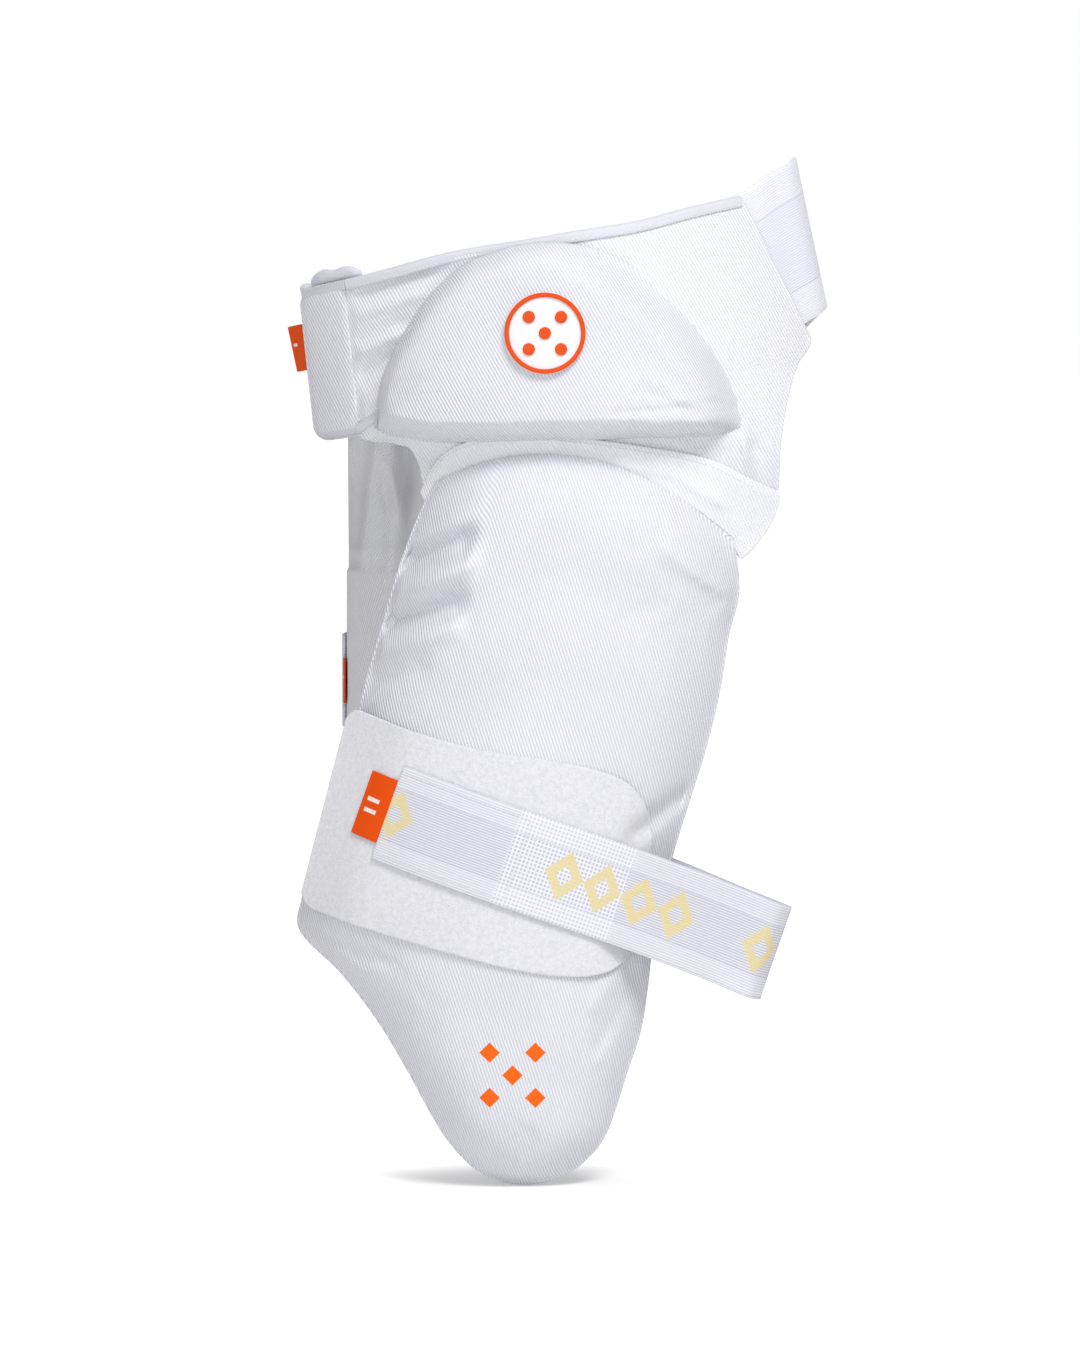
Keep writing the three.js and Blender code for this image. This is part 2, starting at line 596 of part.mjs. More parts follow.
// Distance of the hip pad's front from the surface behind it, at a place of the picture plane.
function hipFront(x, z) {
  const u = clamp((x + HIP_LEFT) / HIP_WIDTH, 0, 1);
  const top = HIP_TOP - read(HIP_COLUMNS, 'top', u) * HIP_HEIGHT;
  const low = HIP_TOP - read(HIP_COLUMNS, 'bottom', u) * HIP_HEIGHT;
  const v = clamp((top - z) / (top - low), 0, 1);
  const toSide = Math.min(u, 1 - u) * HIP_WIDTH;
  const toEnd = Math.min(v, 1 - v) * (top - low);
  return hipBack(v) + lerp(HIP_EDGE, HIP_THICK, pillow(toSide, toEnd, HIP_SLOPE * HIP_HEIGHT));
}

// The badge follows the pad's front: every part of it is a lathe form laid on that surface.
function onBadge(x, z, out) {
  return onFront(BADGE_X + x, BADGE_Z + z, hipFront(BADGE_X + x, BADGE_Z + z) + 2 * GAP + out);
}

function ringProfile(inner, outer, low, high) {
  const corners = [[inner, low], [outer, low], [outer, high], [inner, high], [inner, low]];
  return corners.map(([x, y]) => new THREE.Vector2(x, y));
}

function discProfile(radius, low, high) {
  const corners = [[0, low], [radius / 2, low], [radius, low], [radius, high], [radius / 2, high], [0, high]];
  return corners.map(([x, y]) => new THREE.Vector2(x, y));
}

function badgeDisc() {
  return wrapped(discProfile(BADGE_DIAMETER / 2, 0, BADGE_WALL), 32, onBadge);
}

function badgeRing() {
  const outer = BADGE_DIAMETER / 2 - GAP;
  const low = BADGE_WALL + GAP;
  return wrapped(ringProfile(outer - RING_WIDTH, outer, low, low + RING_HEIGHT), 32, onBadge);
}

function badgeDot(column, row) {
  const low = BADGE_WALL + GAP;
  const place = (x, z, out) => onBadge(x + column * DOT_SPREAD, z + row * DOT_SPREAD, out);
  return wrapped(discProfile(DOT_DIAMETER / 2, low, low + RING_HEIGHT), 12, place);
}

// Harness cloth: hangs from the band's lower edge, with the wing at its right and gathers beside the pad.
function harnessPoint(u, v, out) {
  const low = BAND_TOP - BAND_HEIGHT - GAP;
  const left = HARNESS_RIGHT - read(HARNESS_ROWS, 'left', v) * HARNESS_WIDTH;
  const right = HARNESS_RIGHT - read(HARNESS_ROWS, 'right', v) * HARNESS_WIDTH;
  const x = lerp(left, right, u);
  const start = (low + x * Math.sin(tilt)) / Math.cos(tilt);
  const drop = lerp(read(HARNESS_ROWS, 'leftDrop', v), read(HARNESS_ROWS, 'rightDrop', v), u);
  const bow = read(HARNESS_ROWS, 'bow', v) * (1 - (2 * u - 1) ** 2);
  const z = start - (drop - bow) * HIP_HEIGHT;
  const free = clamp(Math.min(v - FOLD_FREE_FROM, FOLD_FREE_TO - v) / FOLD_FADE, 0, 1);
  const fold = relief(HARNESS_FOLDS, u, v, HIP_HEIGHT / HARNESS_WIDTH) * FOLD_HEIGHT * free;
  return onFront(x, z, out + fold);
}

function harnessCloth() {
  return panel(26, 9, 1, (u, v, side) => harnessPoint(u, v, (side - 0.5) * CLOTH_WALL));
}

function padYoke() {
  const back = CLOTH_WALL / 2 + 2 * GAP;
  return panel(24, 3, 1, (u, v, side) => {
    const topX = read(YOKE_COLUMNS, 'x', u);
    const lowX = read(YOKE_COLUMNS, 'lowX', u);
    const top = read(YOKE_COLUMNS, 'top', u);
    const low = read(YOKE_COLUMNS, 'low', u);
    const x = lerp(topX, lowX, v) * PAD_WIDTH - PAD_LEFT;
    const z = PAD_TOP - lerp(top, low, v) * HIP_HEIGHT;
    return onFront(x, z, back + side * YOKE_WALL);
  });
}

// Thigh pad: its outline comes from its rows, its front is domed over a rear face curved round the thigh.
function padThickness(u, v) {
  const row = (read(PAD_ROWS, 'right', v) - read(PAD_ROWS, 'left', v)) * PAD_WIDTH;
  const toSide = Math.min(u, 1 - u) * row;
  const toEnd = Math.min(v, 1 - v) * PAD_HEIGHT;
  const fold = relief(PAD_FOLDS, u, v, PAD_HEIGHT / PAD_WIDTH) * DENT_DEPTH;
  const rise = pillow(toSide, toEnd, PAD_SLOPE * PAD_WIDTH);
  return lerp(PAD_EDGE, PAD_THICK, rise) + fold * Math.min(1, rise * 2);
}

const PAD_REAR = CLOTH_WALL / 2 + YOKE_WALL + 3 * GAP;

function padPoint(u, v, side, inset) {
  const left = read(PAD_ROWS, 'left', v) * PAD_WIDTH + inset;
  const right = read(PAD_ROWS, 'right', v) * PAD_WIDTH - inset;
  const slant = read(PAD_ROWS, 'slant', v) * (u - 0.5);
  const bow = read(PAD_ROWS, 'bow', v) * (1 - (2 * u - 1) ** 2);
  const mid = lerp(inset, PAD_HEIGHT - inset, v);
  const z = PAD_TOP - mid - (slant - bow + read(PAD_ROWS, 'bow', v)) * PAD_HEIGHT;
  return onFront(lerp(left, right, u) - PAD_LEFT, z, PAD_REAR + side * padThickness(u, v));
}

function thighPad() {
  return panel(16, 23, 2, (u, v, side) => {
    const inset = EDGE_ROUND * Math.abs(2 * side - 1);
    return padPoint(crowd(u, 0.6), crowd(v, 0.7), side, inset);
  });
}

// Distance of the thigh pad's front from the surface behind it, at a place of the picture plane.
function padFront(x, z) {
  let v = clamp((PAD_TOP - z) / PAD_HEIGHT, 0, 1);
  let u = 0.5;
  for (let turn = 0; turn < 4; turn += 1) {
    const left = read(PAD_ROWS, 'left', v) * PAD_WIDTH - PAD_LEFT;
    const right = read(PAD_ROWS, 'right', v) * PAD_WIDTH - PAD_LEFT;
    u = clamp((x - left) / (right - left), 0, 1);
    const bend = read(PAD_ROWS, 'slant', v) * (u - 0.5) + read(PAD_ROWS, 'bow', v) * (2 * u - 1) ** 2;
    v = clamp((PAD_TOP - z) / PAD_HEIGHT - bend, 0, 1);
  }
  return PAD_REAR + padThickness(u, v);
}

function loopPatch() {
  return panel(20, 8, 1, (share, v, side) => {
    const u = crowd(share, 0.6);
    const topX = read(PATCH_COLUMNS, 'x', u);
    const lowX = read(PATCH_COLUMNS, 'lowX', u);
    const top = read(PATCH_COLUMNS, 'top', u);
    const low = read(PATCH_COLUMNS, 'low', u);
    const x = lerp(topX, lowX, v) * PATCH_WIDTH - PAD_LEFT;
    const z = PAD_TOP - lerp(top, low, v) * PAD_HEIGHT;
    return onFront(x, z, padFront(x, z) + PATCH_LIFT + side * PATCH_WALL);
  });
}

// From the strap's tilted frame to the frame of the part.
const strapTilt = THREE.MathUtils.degToRad(STRAP_TILT);

function fromStrap(x, y, z) {
  const acrossX = STRAP_MIDDLE_X + x * Math.cos(strapTilt) - z * Math.sin(strapTilt);
  const acrossZ = STRAP_MIDDLE_Z + x * Math.sin(strapTilt) + z * Math.cos(strapTilt);
  return new THREE.Vector3(acrossX, y, acrossZ);
}

// Middle of the strap's thickness where it lies on the patch and, past the pad's crown, runs on straight.
function strapDepth(x, z) {
  const lay = PATCH_LIFT + PATCH_WALL + 2 * GAP + STRAP_WALL / 2;
  const surface = (at) => frontDepth(at, z) - padFront(at, z) - lay;
  if (x < STRAP_REST) return surface(x);
  const slope = (surface(STRAP_REST) - surface(STRAP_REST - STRAP_STEP)) / STRAP_STEP;
  return surface(STRAP_REST) + Math.max(slope, STRAP_FALL) * (x - STRAP_REST);
}

// Thigh strap: over the patch, back round the thigh hollow and onto the rear of the pad.
function thighStrap() {
  const across = new THREE.Vector3(-Math.sin(strapTilt), 0, Math.cos(strapTilt));
  const thread = (v) => {
    const z = (0.5 - v) * STRAP_WIDTH;
    const points = [];
    const rests = 12;
    for (let i = 0; i <= rests; i += 1) {
      const along = lerp(STRAP_LEFT, STRAP_TURN, i / rests);
      const place = fromStrap(along, 0, z - STRAP_SAG * Math.max(0, along / STRAP_TURN) ** 2);
      place.y = strapDepth(place.x, place.z);
      points.push(place);
    }
    const turn = points[rests].y;
    for (const row of STRAP_ROUTE) {
      const low = z - STRAP_SAG * clamp(row.x, 0, 1) ** 2 - row.drop * STRAP_WIDTH;
      points.push(fromStrap(row.x * STRAP_TURN, turn + row.y * WAIST_DEPTH, low));
    }
    const low = z - STRAP_ROUTE[STRAP_ROUTE.length - 1].drop * STRAP_WIDTH;
    for (const share of STRAP_SEWN) {
      const place = fromStrap(share * STRAP_LEFT, 0, low);
      place.y = frontDepth(place.x, place.z) - PAD_REAR + GAP + STRAP_WALL;
      points.push(place);
    }
    return new THREE.CatmullRomCurve3(points);
  };
  return webbing(72, 2, thread, across, STRAP_WALL);
}

// Label at the strap's end, between the strap and the patch.
function strapLabel() {
  return panel(3, 3, 1, (u, v, side) => {
    const place = fromStrap(STRAP_LEFT - LABEL_WIDTH + u * (LABEL_WIDTH - GAP), 0, (0.5 - v) * LABEL_HEIGHT);
    place.y = strapDepth(place.x, place.z) - (side - 0.5) * LABEL_WALL;
    return place;
  });
}

// A point round the inner thigh hollow.
function aroundThigh(angle, radius, z) {
  const turn = THREE.MathUtils.degToRad(angle);
  return new THREE.Vector3(INNER_X + radius * Math.cos(turn), INNER_Y + radius * Math.sin(turn), z);
}

function innerThickness(u, v) {
  const arc = THREE.MathUtils.degToRad(INNER_TO - INNER_FROM) * INNER_RADIUS;
  const toSide = Math.min(u, 1 - u) * arc;
  const toEnd = (1 - v) * INNER_HEIGHT;
  return lerp(INNER_EDGE, INNER_THICK, pillow(toSide, toEnd, INNER_SLOPE * INNER_RADIUS));
}

function innerPad() {
  return panel(16, 14, 2, (u, v, side) => {
    const across = crowd(u, 0.6);
    const down = crowd(v, 0.6);
    const low = INNER_WAIST * Math.max(0, down - INNER_WAIST_FROM) ** 1.5 * (INNER_TO - INNER_FROM);
    const angle = lerp(INNER_FROM + low, INNER_TO - low, across);
    const corner = down > 0.5 ? Math.max(0, Math.abs(2 * across - 1) - INNER_CORNER_FROM) ** 2 : 0;
    const z = INNER_TOP - down * INNER_HEIGHT + corner * INNER_CORNER_RISE * down;
    return aroundThigh(angle, INNER_RADIUS + side * innerThickness(across, down), z);
  });
}

// Cloth that hangs from inside the band, slants back between the thighs and ends on the inner pad's rim.
function innerCloth() {
  const tuck = ELASTIC_TUCK + ELASTIC_WALL / 2 + GAP + CLOTH_WALL / 2;
  return panel(14, 12, 1, (u, v, side) => {
    const inward = tuck - (side - 0.5) * CLOTH_WALL;
    const x = -lerp(0.83, 0.42, u) * WAIST_LEFT;
    const fall = Math.min(v / INNER_CLOTH_SEWN, 1) * INNER_CLOTH_LAP;
    const top = insideBelt(x, INNER_CLOTH_TOP - fall, inward);
    if (v <= INNER_CLOTH_SEWN) return top;
    const radius = INNER_RADIUS + INNER_THICK - CLOTH_WALL + (side - 0.5) * CLOTH_WALL;
    const low = aroundThigh(lerp(INNER_CLOTH_FROM, INNER_CLOTH_TO, u), radius, INNER_TOP + GAP);
    const share = (v - INNER_CLOTH_SEWN) / (1 - INNER_CLOTH_SEWN);
    const point = top.clone().lerp(low, share);
    point.y += Math.sin(u * Math.PI * 5 + share * 2) * Math.sin(Math.PI * share) * INNER_CLOTH_WAVE;
    return point;
  });
}

// Inner strap: from the inside of the pad's front rim, round the far side, onto the pad's outer face.
function innerStrap() {
  const thread = (v) => {
    const z = INNER_TOP - INNER_STRAP_DROP + (0.5 - v) * STRAP_WIDTH;
    const inside = INNER_RADIUS - GAP - STRAP_WALL / 2;
    const outside = INNER_RADIUS + INNER_THICK + 2 * GAP + STRAP_WALL / 2;
    const points = [];
    for (let i = 0; i < INNER_STRAP_RESTS; i += 1) {
      points.push(aroundThigh(INNER_TO - INNER_STRAP_REACH * (1 - i / INNER_STRAP_RESTS), inside, z));
    }
    for (let i = 0; i <= INNER_STRAP_FREE; i += 1) {
      const share = i / INNER_STRAP_FREE;
      const angle = lerp(INNER_TO + INNER_STRAP_CLEAR, INNER_FROM + 360 - INNER_STRAP_CLEAR, share);
      points.push(aroundThigh(angle, lerp(inside, outside, share), z));
    }
    const landing = INNER_FROM + 360 + INNER_STRAP_CLEAR / 2;
    for (let i = 0; i <= INNER_STRAP_RESTS; i += 1) {
      points.push(aroundThigh(lerp(landing, INNER_STRAP_END + 360, i / INNER_STRAP_RESTS), outside, z));
    }
    return new THREE.CatmullRomCurve3(points);
  };
  return webbing(54, 1, thread, UP, STRAP_WALL);
}

function innerLabel() {
  return panel(3, 2, 1, (u, v, side) => {
    const z = INNER_TOP - INNER_STRAP_DROP + (0.5 - v) * BELT_LABEL_HEIGHT;
    const radius = INNER_RADIUS + INNER_THICK + 2 * GAP + STRAP_WALL / 2 + (side - 0.5) * LABEL_WALL;
    const start = INNER_STRAP_END + THREE.MathUtils.radToDeg(2 * GAP / radius);
    return aroundThigh(start + u * THREE.MathUtils.radToDeg(BELT_LABEL_WIDTH / radius), radius, z);
  });
}

const group = new THREE.Group();

function add(name, geometry, color, roughness) {
  const material = new THREE.MeshStandardMaterial({ color, roughness, metalness: 0 });
  const mesh = new THREE.Mesh(geometry, material);
  mesh.name = name;
  group.add(mesh);
}

add('waist_band', waistBand(), CLOTH_WHITE, 0.9);
add('band_top_binding', topBinding(), WHITE, 0.9);
add('band_lower_binding', lowerBinding(), WHITE, 0.9);
add('closure_tab', closureTab(), CLOTH_WHITE, 0.9);
add('tab_binding', tabBinding(), WHITE, 0.9);
add('belt_label', beltLabel(), ORANGE, 0.7);
add('waist_elastic', waistElastic(), ELASTIC_WHITE, 0.85);
add('hip_pad', hipPad(), CLOTH_WHITE, 0.9);
add('badge_disc', badgeDisc(), WHITE, 0.45);
add('badge_ring', badgeRing(), ORANGE, 0.45);
const dots = [[-1, 1], [1, 1], [0, 0], [-1, -1], [1, -1]];
dots.forEach(([column, row], i) => add(`badge_dot_${i + 1}`, badgeDot(column, row), ORANGE, 0.45));
add('harness_cloth', harnessCloth(), CLOTH_WHITE, 0.9);
add('pad_yoke', padYoke(), CLOTH_WHITE, 0.9);
add('thigh_pad', thighPad(), CLOTH_WHITE, 0.9);
add('loop_patch', loopPatch(), WHITE, 0.95);
add('thigh_strap', thighStrap(), ELASTIC_WHITE, 0.85);
add('strap_label', strapLabel(), ORANGE, 0.7);
add('inner_cloth', innerCloth(), CLOTH_WHITE, 0.9);
add('inner_pad', innerPad(), CLOTH_WHITE, 0.9);
add('inner_strap', innerStrap(), ELASTIC_WHITE, 0.85);
add('inner_label', innerLabel(), ORANGE, 0.7);

export default group;
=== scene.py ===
import math

import bpy
import numpy as np
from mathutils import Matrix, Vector


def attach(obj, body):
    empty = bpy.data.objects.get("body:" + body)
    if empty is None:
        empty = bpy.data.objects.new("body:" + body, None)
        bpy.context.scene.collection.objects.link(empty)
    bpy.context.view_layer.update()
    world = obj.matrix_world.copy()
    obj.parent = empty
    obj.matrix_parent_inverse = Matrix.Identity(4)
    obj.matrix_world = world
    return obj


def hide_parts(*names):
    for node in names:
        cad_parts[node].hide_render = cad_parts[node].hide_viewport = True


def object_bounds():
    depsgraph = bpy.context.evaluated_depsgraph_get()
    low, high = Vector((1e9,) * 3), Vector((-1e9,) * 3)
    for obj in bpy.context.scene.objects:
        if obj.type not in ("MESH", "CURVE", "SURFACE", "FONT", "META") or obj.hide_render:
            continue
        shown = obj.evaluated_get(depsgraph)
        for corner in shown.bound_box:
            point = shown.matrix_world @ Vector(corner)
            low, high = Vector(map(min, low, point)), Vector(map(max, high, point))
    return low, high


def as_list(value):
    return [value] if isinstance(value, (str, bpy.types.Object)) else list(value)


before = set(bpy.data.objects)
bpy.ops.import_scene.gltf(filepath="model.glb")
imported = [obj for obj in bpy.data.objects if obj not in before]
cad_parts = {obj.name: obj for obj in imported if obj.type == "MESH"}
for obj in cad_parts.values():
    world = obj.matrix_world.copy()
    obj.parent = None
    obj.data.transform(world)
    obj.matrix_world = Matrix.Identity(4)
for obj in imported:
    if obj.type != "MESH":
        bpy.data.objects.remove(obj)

CAD_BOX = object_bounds()

# Sizes in metres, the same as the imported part's
MM = 0.001
WAIST_DEPTH = 120 * MM
WAIST_LEFT = 155 * MM
WAIST_RIGHT = 140 * MM
WAIST_TILT = math.radians(12)
BAND_TOP = 31.5 * MM
BAND_HEIGHT = 81 * MM
BAND_WALL = 3 * MM
BAND_END_TOP = 103 * MM
BAND_END_LOW = 124 * MM
BINDING_WIDTH = 5 * MM
BINDING_WALL = 1 * MM
TAB_WIDTH = 25 * MM
TAB_SEAM_TOP = 111 * MM
TAB_SEAM_LOW = 120 * MM
TAB_CORNER = 9 * MM
TAB_WALL = 4 * MM
ELASTIC_WIDTH = 81 * MM
ELASTIC_WALL = 2 * MM
HIP_WIDTH = 201 * MM
HIP_HEIGHT = 103 * MM
HIP_THICK = 22 * MM
HIP_LEFT = 99 * MM
HIP_TOP = 28 * MM
BADGE_DIAMETER = 43 * MM
BADGE_WALL = 2.4 * MM
BADGE_X = -9 * MM
BADGE_Z = -19.5 * MM
RING_WIDTH = 2.4 * MM
RING_HEIGHT = 0.8 * MM
DOT_DIAMETER = 6.4 * MM
DOT_SPREAD = 8.4 * MM
CLOTH_WALL = 2.2 * MM
HARNESS_WIDTH = 232 * MM
HARNESS_RIGHT = 132 * MM
YOKE_WALL = 2 * MM
YOKE_END_BOW = 4.5 * MM
PAD_WIDTH = 231 * MM
PAD_HEIGHT = 384 * MM
PAD_LEFT = 137 * MM
PAD_TOP = -85 * MM
PAD_THICK = 24 * MM
PAD_CURVE = 135 * MM
PAD_STAND = 3 * MM
DENT_DEPTH = 6.4 * MM
PATCH_WALL = 2.2 * MM
PATCH_LIFT = 0.95 * MM
PATCH_WIDTH = 188 * MM
STRAP_WIDTH = 50 * MM
STRAP_WALL = 2 * MM
STRAP_TILT = math.radians(-19.5)
STRAP_LEFT = -92 * MM
STRAP_REACH = 118 * MM
STRAP_SAG = 4.5 * MM
STRAP_MIDDLE_X = -4 * MM
STRAP_MIDDLE_Z = -301 * MM
STRAP_REST = 12 * MM
LABEL_WIDTH = 15 * MM
LABEL_HEIGHT = 34 * MM
LABEL_WALL = 0.8 * MM
BELT_LABEL_HEIGHT = 24 * MM
BELT_LABEL_WIDTH = 9 * MM
BELT_LABEL_OUT = 6.3 * MM
BELT_LABEL_DROP = 30 * MM
INNER_X = -50 * MM
INNER_Y = 70 * MM
INNER_RADIUS = 54 * MM
INNER_THICK = 14 * MM
INNER_TOP = -152 * MM
INNER_HEIGHT = 200 * MM
INNER_FROM = 140
INNER_TO = 292
INNER_STRAP_DROP = 60 * MM
INNER_STRAP_END = 181
INNER_CLOTH_TOP = -22 * MM
INNER_CLOTH_SEWN = 0.3
INNER_CLOTH_LAP = 16 * MM
INNER_CLOTH_FROM = 180
INNER_CLOTH_TO = 268
GAP = 0.3 * MM
ELASTIC_TUCK = max(BAND_WALL / 2 + BINDING_WALL + GAP, TAB_WALL / 2) + GAP + ELASTIC_WALL / 2
PAD_REAR = CLOTH_WALL / 2 + YOKE_WALL + 3 * GAP

# Sizes and places of stitches, folds, soft edges, weave and prints
STITCH_PITCH = 2.6 * MM
STITCH_LENGTH = 1.9 * MM
THREAD = 0.45 * MM
SWELL_CAP = 3 * MM
PAD_ROUND = 1.2 * MM
PATCH_BRIDGE = 22 * MM
PATCH_STEP = 6 * MM
PATCH_TURN = 1.25
PAD_RIM = 2.5 * MM
PAD_SLOPE = 36 * MM
HIP_RIM = 9 * MM
HIP_ROUND = 1 * MM
HIP_SKIRT = 3 * MM
HIP_TURN = 12 * MM
HIP_SOFT_TURN = 13 * MM
SUNK = 0.4 * MM
INNER_RIM = 4 * MM
CLOTH_LAY = 0.35
RIB = 1.65 * MM
EDGE_BAND = 0.22
STRAP_SEWN = 68 * MM
STRAP_OPEN = 134 * MM
STRAP_FIGURES = (100, 122, 144, 166, 4, 217)
PRINT_SPOTS = ((-38, -396), (-14, -396), (-26, -408), (-38, -420), (-14, -420))
PRINT_HALF = 5.4 * MM
INNER_WAVE = 0.75 * MM
TAB_SOFT_EDGE = 1.3 * MM
BAND_SHARE = 0.38
ROLL_LEFT = -129 * MM
ROLL_RIGHT = -101 * MM
ROLL_HEIGHT = 7.8 * MM
ROLL_FOOT = 0.4 * MM
ROLL_WALL = 2.8 * MM

# The photograph's frame: one pixel at the front of the guard, and the pixel of the waist's middle
PIXEL = 0.526 * MM
FRAME_WIDTH = 1080
FRAME_HEIGHT = 1350
WAIST_PIXEL = (562, 296)
VIEW_DISTANCE = 4.0
VIEW_LIFT = math.radians(3)

# Lights and floor
LIGHT_SIDE = (0.3, -0.7, 0.62)
LIGHT_AIM = (0, 0, -0.2)
KEY_PLACE = (0.7, -1.9, 1.9)
KEY_SIZE = 1.1
KEY_POWER = 48
FILL_PLACE = (-0.8, -2.8, 0.3)
FILL_SIZE = 1.6
FILL_POWER = 13
FLOOR_HALF = 30
FLOOR_DROP = 0.5 * MM
# Painted contact shadow: round this place under the pad's tip the floor's glow to the camera is dimmed,
# rising over SHADOW_REACH in squared metres from the first to the second strength of SHADOW_GLOW
SHADOW_X = -18 * MM
SHADOW_Y = -120 * MM
SHADOW_REACH = (0.0008, 0.016)
SHADOW_GLOW = (0.2, 0.8)
SKY_DARK = 0.19
SKY_LIGHT = 0.53


def table(names, *rows):
    """A table as columns by name, each row's values in the order of the names."""
    values = np.array(rows, dtype=float)
    return {name: values[:, i] for i, name in enumerate(names.split())}


PAD_ROWS = table(
    "at left right slant bow",
    (0, 0.304, 0.984, 0.079, 0.073), (0.035, 0.279, 0.995, 0.08, 0.064), (0.09, 0.245, 1, 0.066, 0.05),
    (0.145, 0.213, 0.996, 0.039, 0.036), (0.21, 0.184, 0.977, 0.02, 0.022),
    (0.31, 0.141, 0.954, 0.014, 0.01),
    (0.39, 0.113, 0.922, 0.02, 0.006), (0.46, 0.072, 0.89, 0.007, 0.004), (0.55, 0.021, 0.845, 0.014, 0),
    (0.62, -0.006, 0.822, 0.012, 0), (0.67, -0.01, 0.802, 0.02, -0.004), (0.73, 0.084, 0.79, 0.025, -0.006),
    (0.79, 0.166, 0.774, 0.02, -0.006), (0.85, 0.231, 0.743, 0.013, -0.006),
    (0.92, 0.296, 0.706, 0.01, -0.006),
    (0.95, 0.33, 0.682, 0.006, -0.006), (0.975, 0.371, 0.645, 0.002, -0.005),
    (0.99, 0.409, 0.607, 0, -0.004),
    (1, 0.455, 0.56, 0, -0.003))
PAD_CROWN = table(
    "at crown middle",
    (0, 0.985, 0.64), (0.15, 1.03, 0.6), (0.35, 1.06, 0.54), (0.6, 1.06, 0.44), (0.8, 1.02, 0.47),
    (1, 0.96, 0.51))
HIP_COLUMNS = table(
    "at top bottom",
    (0, 0.93, 0.97), (0.012, 0.74, 0.985), (0.04, 0.59, 1), (0.083, 0.44, 1), (0.136, 0.29, 1),
    (0.19, 0.182, 1),
    (0.242, 0.107, 1), (0.3, 0.058, 1), (0.375, 0.014, 0.995), (0.457, 0, 0.99), (0.547, 0.02, 0.99),
    (0.64, 0.084, 0.985), (0.733, 0.188, 0.98), (0.826, 0.345, 0.98), (0.884, 0.475, 0.975),
    (0.932, 0.62, 0.97), (0.972, 0.775, 0.96), (1, 0.9, 0.95))
HARNESS_ROWS = table(
    "at left right left_drop right_drop bow",
    (0, 1, 0, 0, 0, 0), (0.2, 0.948, 0.032, 0.08, 0.12, 0), (0.4, 0.914, 0.057, 0.12, 0.3, 0),
    (0.6, 0.891, 0.073, 0.22, 0.52, 0.09), (0.8, 0.882, 0.078, 0.32, 0.75, 0.18),
    (0.9, 0.872, 0.092, 0.36, 0.9, 0.2), (1, 0.86, 0.15, 0.4, 1.02, 0.22))
YOKE_COLUMNS = table(
    "at x top low_x low",
    (0, 0.272, 0.18, 0.285, 0.24), (0.08, 0.295, 0.07, 0.302, 0.2), (0.16, 0.33, -0.02, 0.335, 0.13),
    (0.26, 0.39, -0.08, 0.395, 0.08), (0.4, 0.49, -0.12, 0.49, 0.06), (0.52, 0.61, -0.1, 0.61, 0.08),
    (0.66, 0.75, -0.06, 0.74, 0.14), (0.8, 0.92, 0.01, 0.87, 0.26), (0.91, 1.025, 0.12, 0.95, 0.4),
    (1, 1.092, 0.19, 1.005, 0.525))
PATCH_COLUMNS = table(
    "at x top low_x low",
    (0, 0.127, 0.36, 0, 0.6), (0.025, 0.15, 0.35, 0.018, 0.615), (0.06, 0.185, 0.354, 0.05, 0.622),
    (0.2, 0.31, 0.374, 0.2, 0.643), (0.4, 0.5, 0.398, 0.42, 0.672), (0.6, 0.68, 0.411, 0.6, 0.694),
    (0.75, 0.81, 0.424, 0.74, 0.704), (0.88, 0.91, 0.445, 0.85, 0.7), (0.96, 0.96, 0.48, 0.91, 0.68),
    (1, 0.975, 0.52, 0.94, 0.65))
ELASTIC_ROUTE = (
    (0.955, -0.27, 0.145), (0.985, -0.09, 0.175), (0.97, 0.06, 0.15), (0.9, 0.21, 0.06),
    (0.77, 0.42, -0.07),
    (0.57, 0.65, -0.16), (0.29, 0.85, -0.18), (0, 0.93, -0.2), (-0.29, 0.9, -0.17), (-0.58, 0.71, -0.1),
    (-0.78, 0.4, -0.02), (-0.86, 0.07, 0.03))
STRAP_ROUTE = (
    (1.03, 0.03, 0), (1.06, 0.09, 0), (1.04, 0.17, 0.01), (0.97, 0.25, 0.02), (0.82, 0.39, 0.05),
    (0.55, 0.6, 0.08), (0.2, 0.77, 0.11), (-0.2, 0.84, 0.13), (-0.56, 0.78, 0.13), (-0.84, 0.6, 0.11),
    (-0.95, 0.36, 0.09))

# Folds: x0 y0 x1 y1 in shares of the piece across and down, spread in shares of its width, and height in
# shares of the piece's fold height
PAD_FOLDS = (
    (-0.027, 0.133, 0.206, 0.104, 0.03, -1.7), (-0.03, 0.17, 0.24, 0.138, 0.034, 1.1),
    (-0.02, 0.222, 0.235, 0.188, 0.03, -1.6), (-0.03, 0.258, 0.24, 0.222, 0.034, 0.9),
    (-0.03, 0.31, 0.17, 0.282, 0.03, -0.6), (0.3, 0.165, 0.84, 0.205, 0.08, -0.4),
    (0.99, 0.455, 0.86, 0.515, 0.03, -0.9), (0.98, 0.66, 0.8, 0.76, 0.025, 0.35),
    (0.98, 0.7, 0.82, 0.82, 0.03, -0.45),
    (0.02, 0.66, 0.14, 0.68, 0.025, -0.5), (0.1, 0.7, 0.2, 0.69, 0.025, -0.4),
    (0.75, 0.08, 0.98, 0.13, 0.035, 0.5))


